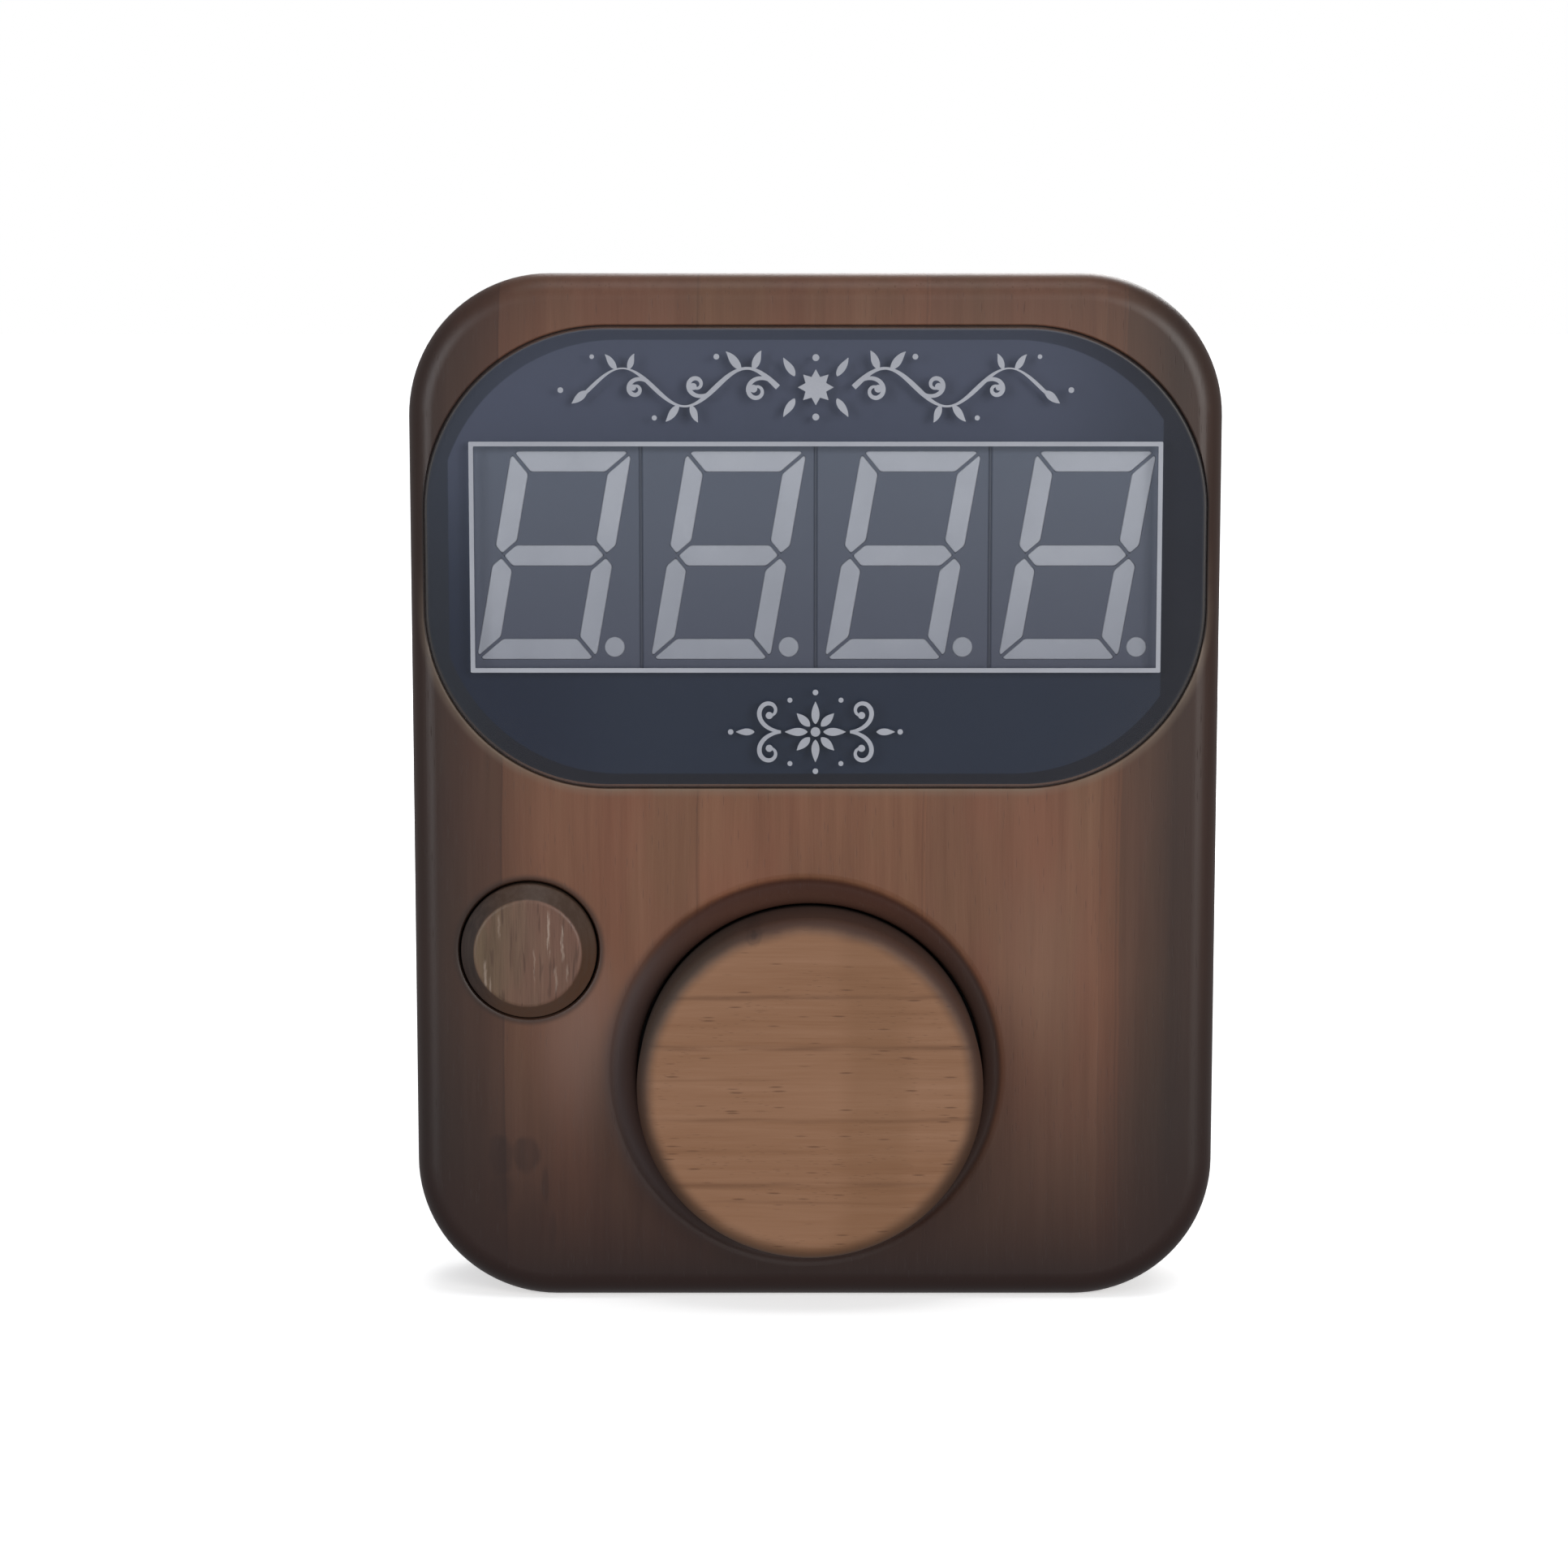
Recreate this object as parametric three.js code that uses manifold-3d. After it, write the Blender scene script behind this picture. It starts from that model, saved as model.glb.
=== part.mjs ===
// Wall counter: a stained wooden block with a four-digit display behind a smoked
// acrylic panel, a large count button and a small reset button, and their works.
// Millimetres. +Z is up, the front faces -Y, and Y = 0 is the plane of the wall.
// The origin is the middle of the back face.
import * as THREE from "three";
import { mergeVertices } from "three/addons/utils/BufferGeometryUtils.js";
import Module from "manifold-3d";

const wasm = await Module();
wasm.setup();

// ---------------------------------------------------------------- dimensions
const GAP = 0.3;              // clearance between pieces that touch

const BODY_W = 178, BODY_H = 228;   // outline
const CORNER_R = 31;                // outline corners
const FRONT_Y = -42;                // front face
const EDGE_R = 6;                   // rounding of the front edge
const COVER_T = 4;                  // back cover
const BODY_BACK_Y = -(COVER_T + GAP);
const WALL_Y = -33;                 // inner face of the front wall
const CAV_W = 159, CAV_H = 204, CAV_R = 20;

const PANEL = { w: 170.6, h: 100.4, r: 39.6, t: 3, z: 52.1 };
const RECESS_Y = -40;               // floor of the panel's recess
const WINDOW = { w: 153.6, h: 57.4, r: 2, z: 52.65 };

const MODULE = { w: 37.9, h: 56, t: 12, pitch: 38.2, z: 52.65, frontY: -39.7 };
const DIGIT = { hw: 13.2, hh: 22.85, t: 4.6, k: 0.42, c: 1.76, slant: 10, pocket: 0.6 };
const POINT_DOT = { x: 13.2, z: -20.1, r: 2.3 };

const BOARD = { w: 152, z0: 9.5, z1: 96, front: -27.4, t: 1.6 };
const BOSS_X = 70, BOSS_Z = [16, 89.5];

const CB = { x: -1.2, z: -63.2 };   // count button centre
const DISH = { x: -2.1, z: -61.9 }; // centre of the dished rim, a little above the bore's
const CB_R = 38.0, CB_BORE = 38.6, CB_DISH = 43.1, CB_DISH_D = 3.0;
const CB_FACE_Y = -58;
const CARRIER = { w: 88, h: 73, r: 8, front: -32.7, t: 3 };
const GUIDE = { dx: 37.5, dz: 30, r: 2.2, headY: -17 };

const RB = { x: -63.4, z: -34.65 }; // reset button centre
const RB_R = 15.0, RB_BORE = 15.4, RB_TOP_R = 11.9;
const RB_FACE_Y = -46.4;

const LEVER = { hx: 7.5, y: -24.75, len: 11, deg: 15.5, t: 0.5, w: 4 };

const DOOR = { hw: 31, z0: 22, z1: 84 };
const CELL = { r: 7.1, len: 49.2, y: -12.2, pitch: 14.6 };

const PS = { x: 48, y: -20 };       // power switch in the bottom edge

// ---------------------------------------------------------------- materials
const MAT = {
  walnut: [0x6b4534, 0.45, 0], beech: [0xb98a5c, 0.5, 0], smoke: [0x2c323c, 0.12, 0],
  black: [0x17181b, 0.6, 0], pcb: [0x1f5a38, 0.5, 0], chip: [0x1b1b1d, 0.5, 0],
  steel: [0xb7babd, 0.35, 1], zinc: [0x9a9c9e, 0.4, 1], abs: [0x2a2b2e, 0.6, 0],
  nylon: [0xd8d5c8, 0.5, 0], brown: [0x5a4030, 0.8, 0], cell: [0x7d8a94, 0.4, 0.6],
  lead: [0x2b2b2b, 0.55, 0], red: [0x8e2a24, 0.55, 0],
};

// ---------------------------------------------------------------- helpers
function closed(geo) {
  let g = geo.clone();
  g.deleteAttribute("normal");
  if (g.getAttribute("uv")) g.deleteAttribute("uv");
  g = mergeVertices(g, 1e-4);
  const p = g.getAttribute("position");
  const src = g.getIndex().array;
  const keep = [];
  for (let i = 0; i < src.length; i += 3) {
    const a = src[i], b = src[i + 1], c = src[i + 2];
    if (a !== b && b !== c && c !== a) keep.push(a, b, c);
  }
  let vol = 0;
  const A = new THREE.Vector3(), B = new THREE.Vector3(), C = new THREE.Vector3();
  for (let i = 0; i < keep.length; i += 3) {
    A.fromBufferAttribute(p, keep[i]);
    B.fromBufferAttribute(p, keep[i + 1]);
    C.fromBufferAttribute(p, keep[i + 2]);
    vol += A.dot(B.cross(C));
  }
  if (vol < 0) {
    for (let i = 0; i < keep.length; i += 3) {
      const t = keep[i]; keep[i] = keep[i + 1]; keep[i + 1] = t;
    }
  }
  g.setIndex(keep);
  return g;
}
function solid(geo) {
  const g = closed(geo);
  return new wasm.Manifold(new wasm.Mesh({
    numProp: 3,
    vertProperties: new Float32Array(g.getAttribute("position").array),
    triVerts: new Uint32Array(g.getIndex().array),
  }));
}
function fromSolid(m) {
  const mesh = m.getMesh();
  const g = new THREE.BufferGeometry();
  g.setAttribute("position", new THREE.BufferAttribute(new Float32Array(mesh.vertProperties), 3));
  g.setIndex(new THREE.BufferAttribute(new Uint32Array(mesh.triVerts), 1));
  return g;
}
function cut(base, tools, adds = []) {
  let m = solid(base);
  for (const a of adds) m = m.add(solid(a));
  for (const t of tools) m = m.subtract(solid(t));
  return fromSolid(m);
}
// Outline in X and Z, extruded along Y from yFront (more negative) to yBack.
function plate(shape, yFront, yBack, curve = 4) {
  const g = new THREE.ExtrudeGeometry(shape, { depth: yBack - yFront, bevelEnabled: false, curveSegments: curve });
  return g.rotateX(Math.PI / 2).translate(0, yBack, 0);
}
function roundRect(w, h, r, cx = 0, cz = 0) {
  const s = new THREE.Shape();
  const x0 = cx - w / 2, x1 = cx + w / 2, z0 = cz - h / 2, z1 = cz + h / 2;
  s.moveTo(x0 + r, z0);
  s.lineTo(x1 - r, z0);
  s.absarc(x1 - r, z0 + r, r, -Math.PI / 2, 0, false);
  s.lineTo(x1, z1 - r);
  s.absarc(x1 - r, z1 - r, r, 0, Math.PI / 2, false);
  s.lineTo(x0 + r, z1);
  s.absarc(x0 + r, z1 - r, r, Math.PI / 2, Math.PI, false);
  s.lineTo(x0, z0 + r);
  s.absarc(x0 + r, z0 + r, r, Math.PI, Math.PI * 1.5, false);
  return s;
}
function box(x0, x1, y0, y1, z0, z1) {
  return new THREE.BoxGeometry(x1 - x0, y1 - y0, z1 - z0)
    .translate((x0 + x1) / 2, (y0 + y1) / 2, (z0 + z1) / 2);
}
// A profile of [radius, y] turned about an axis along Y at (cx, cz).
function turned(profile, cx, cz, seg = 24) {
  const pts = profile.map(([r, y]) => new THREE.Vector2(r, y));
  return new THREE.LatheGeometry(pts, seg).translate(cx, 0, cz);
}
function disc(r, y0, y1, cx, cz, seg = 24) {
  return turned([[0, y0], [r, y0], [r, y1], [0, y1]], cx, cz, seg);
}
// Rings of the same count, joined in order and closed at both ends.
function loft(rings) {
  const n = rings[0].length, pos = [], idx = [];
  for (const ring of rings) for (const q of ring) pos.push(q[0], q[1], q[2]);
  for (let k = 0; k + 1 < rings.length; k++) {
    for (let i = 0; i < n; i++) {
      const a = k * n + i, b = k * n + (i + 1) % n, c = a + n, d = b + n;
      idx.push(a, b, d, a, d, c);
    }
  }
  for (const [k, flip] of [[0, true], [rings.length - 1, false]]) {
    const mid = [0, 0, 0];
    for (const q of rings[k]) for (let j = 0; j < 3; j++) mid[j] += q[j] / n;
    const m = pos.length / 3;
    pos.push(...mid);
    for (let i = 0; i < n; i++) {
      const a = k * n + i, b = k * n + (i + 1) % n;
      if (flip) idx.push(m, b, a); else idx.push(m, a, b);
    }
  }
  const g = new THREE.BufferGeometry();
  g.setAttribute("position", new THREE.Float32BufferAttribute(pos, 3));
  g.setIndex(idx);
  return g;
}
function rrRing(w, h, r, y, seg = 8, cx = 0, cz = 0) {
  const out = [];
  const c = [[w / 2 - r, -h / 2 + r, -90], [w / 2 - r, h / 2 - r, 0],
    [-w / 2 + r, h / 2 - r, 90], [-w / 2 + r, -h / 2 + r, 180]];
  for (const [x, z, a0] of c) {
    for (let i = 0; i <= seg; i++) {
      const a = (a0 + 90 * i / seg) * Math.PI / 180;
      out.push([cx + x + r * Math.cos(a), y, cz + z + r * Math.sin(a)]);
    }
  }
  return out;
}
function circleRing(cx, cz, r, y, seg) {
  const out = [];
  for (let i = 0; i < seg; i++) {
    const a = 2 * Math.PI * i / seg;
    out.push([cx + r * Math.cos(a), y, cz + r * Math.sin(a)]);
  }
  return out;
}
function helix(cx, cz, r, y0, y1, turns, wire, perTurn = 8, sides = 5) {
  class Helix extends THREE.Curve {
    getPoint(t, target = new THREE.Vector3()) {
      const a = t * turns * 2 * Math.PI;
      return target.set(cx + r * Math.cos(a), y0 + wire / 2 + (y1 - y0 - wire) * t, cz + r * Math.sin(a));
    }
  }
  return sweep(new Helix(), wire / 2, Math.round(turns * perTurn), sides);
}
function sweep(curve, radius, steps, sides = 8) {
  const s = new THREE.Shape();
  for (let i = 0; i < sides; i++) {
    const a = 2 * Math.PI * i / sides;
    const x = radius * Math.cos(a), y = radius * Math.sin(a);
    if (i === 0) s.moveTo(x, y); else s.lineTo(x, y);
  }
  return new THREE.ExtrudeGeometry(s, { steps, bevelEnabled: false, extrudePath: curve });
}
function lead(points, radius, steps) {
  const c = new THREE.CatmullRomCurve3(points.map((p) => new THREE.Vector3(...p)), false, "centripetal");
  return sweep(c, radius, steps, 6);
}
// Screw with its head towards +Y: head from headY to headY + headT, shank towards -Y.
function screw(cx, cz, headY, headT, headR, shankR, tipY, recess = false) {
  const body = turned([[0, tipY], [shankR * 0.35, tipY], [shankR, tipY + 1.4], [shankR, headY],
    [headR, headY], [headR, headY + headT * 0.55], [headR * 0.7, headY + headT], [0, headY + headT]], cx, cz, recess ? 12 : 8);
  if (!recess) return body;
  const a = headR * 0.62, b = headR * 0.17, top = headY + headT + 1, low = headY + headT * 0.35;
  return cut(body, [box(cx - a, cx + a, low, top, cz - b, cz + b), box(cx - b, cx + b, low, top, cz - a, cz + a)]);
}
const group = new THREE.Group();
function part(name, geo, look) {
  const g = closed(geo);
  const flat = g.toNonIndexed();
  flat.computeVertexNormals();
  const [color, roughness, metalness] = MAT[look];
  const mesh = new THREE.Mesh(flat, new THREE.MeshStandardMaterial({ color, roughness, metalness }));
  mesh.name = name;
  group.add(mesh);
}

// ---------------------------------------------------------------- front body
{
  const rings = [];
  rings.push(rrRing(BODY_W - 1, BODY_H - 1, CORNER_R - 0.5, BODY_BACK_Y));
  rings.push(rrRing(BODY_W, BODY_H, CORNER_R, BODY_BACK_Y - 0.5));
  for (let i = 0; i <= 5; i++) {
    const a = (Math.PI / 2) * i / 5, inset = EDGE_R * (1 - Math.cos(a));
    rings.push(rrRing(BODY_W - 2 * inset, BODY_H - 2 * inset, CORNER_R - inset,
      FRONT_Y + EDGE_R - EDGE_R * Math.sin(a)));
  }
  const block = loft(rings);
  const adds = [], tools = [];
  const cavity = plate(roundRect(CAV_W, CAV_H, CAV_R), WALL_Y, 1, 6);
  // bosses for the display board and the reset board stand on the front wall
  for (const sx of [-1, 1]) for (const z of BOSS_Z) {
    adds.push(box(sx * BOSS_X - 4.5, sx * BOSS_X + 4.5, WALL_Y - 1, BOARD.front - GAP, z - 4.5, z + 4.5));
    tools.push(disc(1.6, WALL_Y - 4.5, BOARD.front + 1, sx * BOSS_X, z, 12));
  }
  adds.push(box(-74, -53, WALL_Y - 1, -16.3, -14.5, -4.5));
  for (const x of [-69.4, -57.4]) tools.push(disc(1.6, -30, -15, x, -9.5, 12));
  // panel recess and display window
  tools.push(plate(roundRect(PANEL.w + 0.8, PANEL.h + 0.8, PANEL.r + 0.4, 0, PANEL.z), FRONT_Y - 2, RECESS_Y, 12));
  tools.push(plate(roundRect(WINDOW.w, WINDOW.h, WINDOW.r, 0, WINDOW.z), FRONT_Y, WALL_Y + 1));
  // count button bore with its dished rim
  const dish = [[CB_DISH + 0.5, FRONT_Y - 1, 0], [CB_DISH + 0.5, FRONT_Y - 0.3, 0], [CB_DISH, FRONT_Y + 0.05, 0]];
  for (let i = 1; i <= 4; i++) {
    const a = (Math.PI / 2) * i / 4, t = Math.sin(a);
    dish.push([CB_BORE + (CB_DISH - CB_BORE) * (1 - t), FRONT_Y + CB_DISH_D * (1 - Math.cos(a)) + 0.05, t]);
  }
  dish.push([CB_BORE, WALL_Y + 1, 1]);
  tools.push(loft(dish.map(([r, y, t]) => circleRing(DISH.x + (CB.x - DISH.x) * t, DISH.z + (CB.z - DISH.z) * t, r, y, 48))));
  // reset button bore with a small chamfer
  tools.push(turned([[0, FRONT_Y - 1], [RB_BORE + 1.7, FRONT_Y - 1], [RB_BORE, FRONT_Y + 0.7],
    [RB_BORE, WALL_Y + 1], [0, WALL_Y + 1]], RB.x, RB.z, 32));
  // pilot holes: guide screws, bridge screws, cover screws
  for (const sx of [-1, 1]) for (const sz of [-1, 1]) {
    tools.push(disc(1.9, -39.4, WALL_Y + 1, CB.x + sx * GUIDE.dx, CB.z + sz * GUIDE.dz, 12));
    tools.push(disc(1.6, -17, 0, sx * 76.7, sz * 100.5, 12));
  }
  for (const x of [-56.5, 53.5]) tools.push(disc(1.6, -39, WALL_Y + 1, x, CB.z, 12));
  // power switch pocket in the bottom edge
  tools.push(box(PS.x - 16.7, PS.x + 16.7, PS.y - 5.1, PS.y + 5.1, -116, -109.6));
  tools.push(box(PS.x - 10.2, PS.x + 10.2, PS.y - 4.1, PS.y + 4.1, -112, -100));
  let m = solid(block).subtract(solid(cavity));
  for (const a of adds) m = m.add(solid(a));
  for (const t of tools) m = m.subtract(solid(t));
  part("front_body", fromSolid(m), "walnut");
}

// ---------------------------------------------------------------- display
{
  const y0 = RECESS_Y - GAP - PANEL.t, y1 = RECESS_Y - GAP, b = 0.5;
  const rings = [
    rrRing(PANEL.w, PANEL.h, PANEL.r, y1, 12, 0, PANEL.z),
    rrRing(PANEL.w, PANEL.h, PANEL.r, y0 + b, 12, 0, PANEL.z),
    rrRing(PANEL.w - 2 * b, PANEL.h - 2 * b, PANEL.r - b, y0, 12, 0, PANEL.z),
  ];
  part("display_panel", loft(rings), "smoke");
}
function segments() {
  const { hw, hh, t, k, c } = DIGIT;
  const a = [[-hw + k + 1.1, hh], [hw - k - 1.1, hh], [hw - k - 0.5, hh - 0.5], [hw - t - k, hh - t],
    [-hw + t + k, hh - t], [-hw + k + 0.5, hh - 0.5]];
  const b = [[hw - 0.5, hh - k - 0.5], [hw, hh - k - 1.1], [hw, k + c], [hw - c, k],
    [hw - t, k + t - c], [hw - t, hh - t - k]];
  const g = [[hw - c - k, 0], [hw - c - k - t / 2, -t / 2], [-hw + c + k + t / 2, -t / 2],
    [-hw + c + k, 0], [-hw + c + k + t / 2, t / 2], [hw - c - k - t / 2, t / 2]];
  const flipZ = (s) => s.map(([u, v]) => [u, -v]), flipX = (s) => s.map(([u, v]) => [-u, v]);
  return [a, b, flipZ(b), flipZ(a), flipX(flipZ(b)), flipX(b), g];
}
for (let n = 0; n < 4; n++) {
  const cx = (n - 1.5) * MODULE.pitch, cz = MODULE.z, f = MODULE.frontY;
  const bev = 0.4;
  const block = loft([
    rrRing(MODULE.w, MODULE.h, 0.8, f + MODULE.t, 2, cx, cz),
    rrRing(MODULE.w, MODULE.h, 0.8, f + bev, 2, cx, cz),
    rrRing(MODULE.w - 2 * bev, MODULE.h - 2 * bev, 0.5, f, 2, cx, cz),
  ]);
  const tan = Math.tan(DIGIT.slant * Math.PI / 180);
  const tools = segments().map((seg) => {
    const s = new THREE.Shape();
    seg.forEach(([u, v], i) => {
      const x = cx + u + v * tan, z = cz + v;
      if (i === 0) s.moveTo(x, z); else s.lineTo(x, z);
    });
    return plate(s, f - 1, f + DIGIT.pocket);
  });
  tools.push(disc(POINT_DOT.r, f - 1, f + DIGIT.pocket, cx + POINT_DOT.x, cz + POINT_DOT.z, 12));
  part(`led_module_${n + 1}`, cut(block, tools), "black");
}
{
  const b = BOARD, zc = (b.z0 + b.z1) / 2;
  const holes = [];
  for (const sx of [-1, 1]) for (const z of BOSS_Z) holes.push(disc(1.7, b.front - 1, b.front + b.t + 1, sx * BOSS_X, z, 12));
  part("display_board", cut(plate(roundRect(b.w, b.z1 - b.z0, 7, 0, zc), b.front, b.front + b.t), holes), "pcb");
  const back = b.front + b.t + GAP;
  part("controller_chip", loft([
    rrRing(25, 8.5, 0.6, back, 2, -50, 34), rrRing(26, 9.5, 0.6, back + 1.1, 2, -50, 34),
    rrRing(25, 8.5, 0.6, back + 2.4, 2, -50, 34)]), "chip");
  let i = 1;
  for (const sx of [-1, 1]) for (const z of BOSS_Z) {
    part(`board_screw_${i++}`, screw(sx * BOSS_X, z, back, 2, 2.8, 1.25, -36.6), "zinc");
  }
}

// ---------------------------------------------------------------- count button
{
  const prof = [[0, -33]];
  prof.push([CB_R - 0.6, -33], [CB_R, -33.6]);
  const er = 3.4;
  for (let i = 0; i <= 5; i++) {
    const a = (Math.PI / 2) * i / 5;
    prof.push([CB_R - er + er * Math.cos(a), CB_FACE_Y + 0.5 + er - er * Math.sin(a)]);
  }
  prof.push([CB_R * 0.6, CB_FACE_Y + 0.16], [CB_R * 0.3, CB_FACE_Y + 0.03], [0, CB_FACE_Y]);
  part("count_button", turned(prof, CB.x, CB.z, 48), "beech");

  const c = CARRIER, back = c.front + c.t;
  const holes = [];
  for (const sx of [-1, 1]) for (const sz of [-1, 1]) {
    holes.push(disc(GUIDE.r + 0.6, c.front - 1, back + 1, CB.x + sx * GUIDE.dx, CB.z + sz * GUIDE.dz, 12));
  }
  const stem = disc(6, back - 1, back + 1.5, CB.x, CB.z, 24);
  part("button_carrier", cut(plate(roundRect(c.w, c.h, c.r, CB.x, CB.z), c.front, back), holes, [stem]), "abs");

  let i = 1;
  for (const sx of [-1, 1]) for (const sz of [-1, 1]) {
    const x = CB.x + sx * GUIDE.dx, z = CB.z + sz * GUIDE.dz, h = GUIDE.headY;
    const pin = turned([[0, -39], [0.6, -39], [1.5, -37.8], [1.5, c.front], [GUIDE.r, c.front], [GUIDE.r, h],
      [4.3, h], [4.3, h + 1.6], [3.4, h + 2.3], [0, h + 2.3]], x, z, 10);
    part(`guide_screw_${i}`, cut(pin, [box(x - 2.6, x + 2.6, h + 1.2, h + 4, z - 0.45, z + 0.45)]), "zinc");
    part(`count_spring_${i}`, helix(x, z, 3.4, back + GAP, h - GAP, 4.5, 0.7), "steel");
    i++;
  }
}
// ---------------------------------------------------------------- count switch on its bridge
{
  const s = new THREE.Shape();
  const pts = [[-62.5, -32.7], [-48.5, -32.7], [-48.5, -13.5], [45.5, -13.5], [45.5, -32.7], [59.5, -32.7],
    [59.5, -31.2], [47, -31.2], [47, -12], [-50, -12], [-50, -31.2], [-62.5, -31.2]];
  pts.forEach(([x, y], i) => (i ? s.lineTo(x, y) : s.moveTo(x, y)));
  const strap = new THREE.ExtrudeGeometry(s, { depth: 14, bevelEnabled: false }).translate(0, 0, CB.z - 7);
  const holes = [-56.5, 53.5].map((x) => disc(1.7, -34, -30, x, CB.z, 12));
  part("switch_bridge", cut(strap, holes), "zinc");
  [-56.5, 53.5].forEach((x, i) => part(`bridge_screw_${i + 1}`, screw(x, CB.z, -30.9, 2, 2.8, 1.25, -38.4), "zinc"));
  part("switch_board", box(CB.x - 17, CB.x + 17, -15.4, -13.8, CB.z - 6, CB.z + 6), "pcb");

  const px = CB.x + 2.0;                                     // plunger
  const body = box(CB.x - 9.9, CB.x + 9.9, -24.3, -15.7, CB.z - 3.2, CB.z + 3.2);
  part("count_switch", cut(body, [disc(1.3, -26, -19, px, CB.z, 16)]), "black");
  part("count_plunger", turned([[0, -21.4], [0.9, -21.4], [0.9, -25.5], [0.6, -25.9], [0, -26.0]], px, CB.z, 12), "red");

  // lever: a flat strip on its hinge, rising towards the carrier
  const L = LEVER, hx = CB.x + L.hx, a = L.deg * Math.PI / 180;
  const strip = new THREE.BoxGeometry(L.len, L.t, L.w).translate(-L.len / 2, 0, 0);
  strip.rotateZ(a).translate(hx, L.y, CB.z);
  part("count_lever", strip, "steel");
}

// ---------------------------------------------------------------- reset button
{
  const f = RB_FACE_Y;
  part("reset_button", turned([[0, -33], [RB_R - 0.5, -33], [RB_R, -33.5], [RB_R, -42.9], [RB_R - 0.25, -43.3],
    [RB_TOP_R + 0.35, f + 0.25], [RB_TOP_R - 0.05, f], [0, f - 0.1]], RB.x, RB.z, 36), "beech");
  const flange = disc(18.5, -32.7, -30.7, RB.x, RB.z, 24);
  const socket = disc(3.5, -31.5, -26, RB.x, RB.z, 16);
  part("reset_flange", cut(flange, [box(-90, -79.1, -34, -29, -60, -10), box(-46.6, -40, -34, -29, -60, -10), disc(1.6, -30, -25, RB.x, RB.z, 12)], [socket]), "abs");
  part("reset_plunger", turned([[0, -20.6], [1.3, -20.6], [1.3, -28.6], [0.9, -29.2], [0, -29.2]], RB.x, RB.z, 12), "nylon");
  const sw = box(RB.x - 4.25, RB.x + 4.25, -23.3, -16.3, RB.z - 4.25, RB.z + 4.25);
  part("reset_switch", cut(sw, [disc(1.7, -25, -17.4, RB.x, RB.z, 12)]), "black");
  part("reset_spring", helix(RB.x, RB.z, 7.2, -30.4, -16.3, 4.5, 0.7, 9), "steel");
  part("reset_board", cut(box(RB.x - 8.2, RB.x + 8.2, -16, -14.4, -44, -5),
    [disc(1.7, -17, -13, -69.4, -9.5, 12), disc(1.7, -17, -13, -57.4, -9.5, 12)]), "pcb");
  [-69.4, -57.4].forEach((x, i) => part(`reset_screw_${i + 1}`, screw(x, -9.5, -14.1, 2, 2.6, 1.25, -28), "zinc"));
}

// ---------------------------------------------------------------- back cover
{
  const w = BODY_W - 0.6, h = BODY_H - 0.6, r = CORNER_R - 0.3;
  const base = loft([rrRing(w, h, r, -COVER_T), rrRing(w, h, r, -0.8), rrRing(w - 1.6, h - 1.6, r - 0.8, 0)]);
  const tools = [];
  tools.push(box(-DOOR.hw, DOOR.hw, -COVER_T - 1, 1, DOOR.z0, DOOR.z1));
  for (const sx of [-1, 1]) for (const sz of [-1, 1]) {
    tools.push(turned([[0, -COVER_T - 1], [1.7, -COVER_T - 1], [1.7, -2.1], [3.4, -2.1], [3.4, 1], [0, 1]],
      sx * 76.7, sz * 100.5, 12));
  }
  // seat of the hanger plate, and the room behind its keyhole
  tools.push(plate(roundRect(46.8, 16.8, 2.4, 0, 96), -2.6, 1));
  tools.push(plate(roundRect(13, 14, 1, 0, 96), -COVER_T - 1, -1));
  for (const sx of [-1, 1]) tools.push(disc(1.7, -COVER_T - 1, 0, sx * 17, 96, 12));
  part("back_cover", cut(base, tools), "brown");

  let i = 1;
  for (const sx of [-1, 1]) for (const sz of [-1, 1]) {
    part(`cover_screw_${i++}`, screw(sx * 76.7, sz * 100.5, -1.8, 1.6, 3.0, 1.25, -15.5, true), "zinc");
  }
  const key = new THREE.Shape();
  const kr = 4.6, sr = 2.2, kz = 93, tz = 100, join = Math.sqrt(kr * kr - sr * sr);
  const a0 = Math.atan2(join, -sr), a1 = Math.atan2(join, sr) + 2 * Math.PI;
  for (let k = 0; k <= 14; k++) {
    const a = a0 + (a1 - a0) * k / 14;
    const x = kr * Math.cos(a), z = kz + kr * Math.sin(a);
    if (k === 0) key.moveTo(x, z); else key.lineTo(x, z);
  }
  for (let k = 0; k <= 6; k++) {
    const a = Math.PI * k / 6;
    key.lineTo(sr * Math.cos(a), tz + sr * Math.sin(a));
  }
  const plateGeo = plate(roundRect(46, 16, 2, 0, 96), -2.3, -1.1);
  const holes = [plate(key, -4, 1)];
  for (const sx of [-1, 1]) holes.push(disc(1.7, -4, 1, sx * 17, 96, 12));
  part("hanger_plate", cut(plateGeo, holes), "zinc");
  [-17, 17].forEach((x, n) => part(`hanger_screw_${n + 1}`, screw(x, 96, -0.8, 0.7, 2.7, 1.25, -7, true), "zinc"));
}

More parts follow.
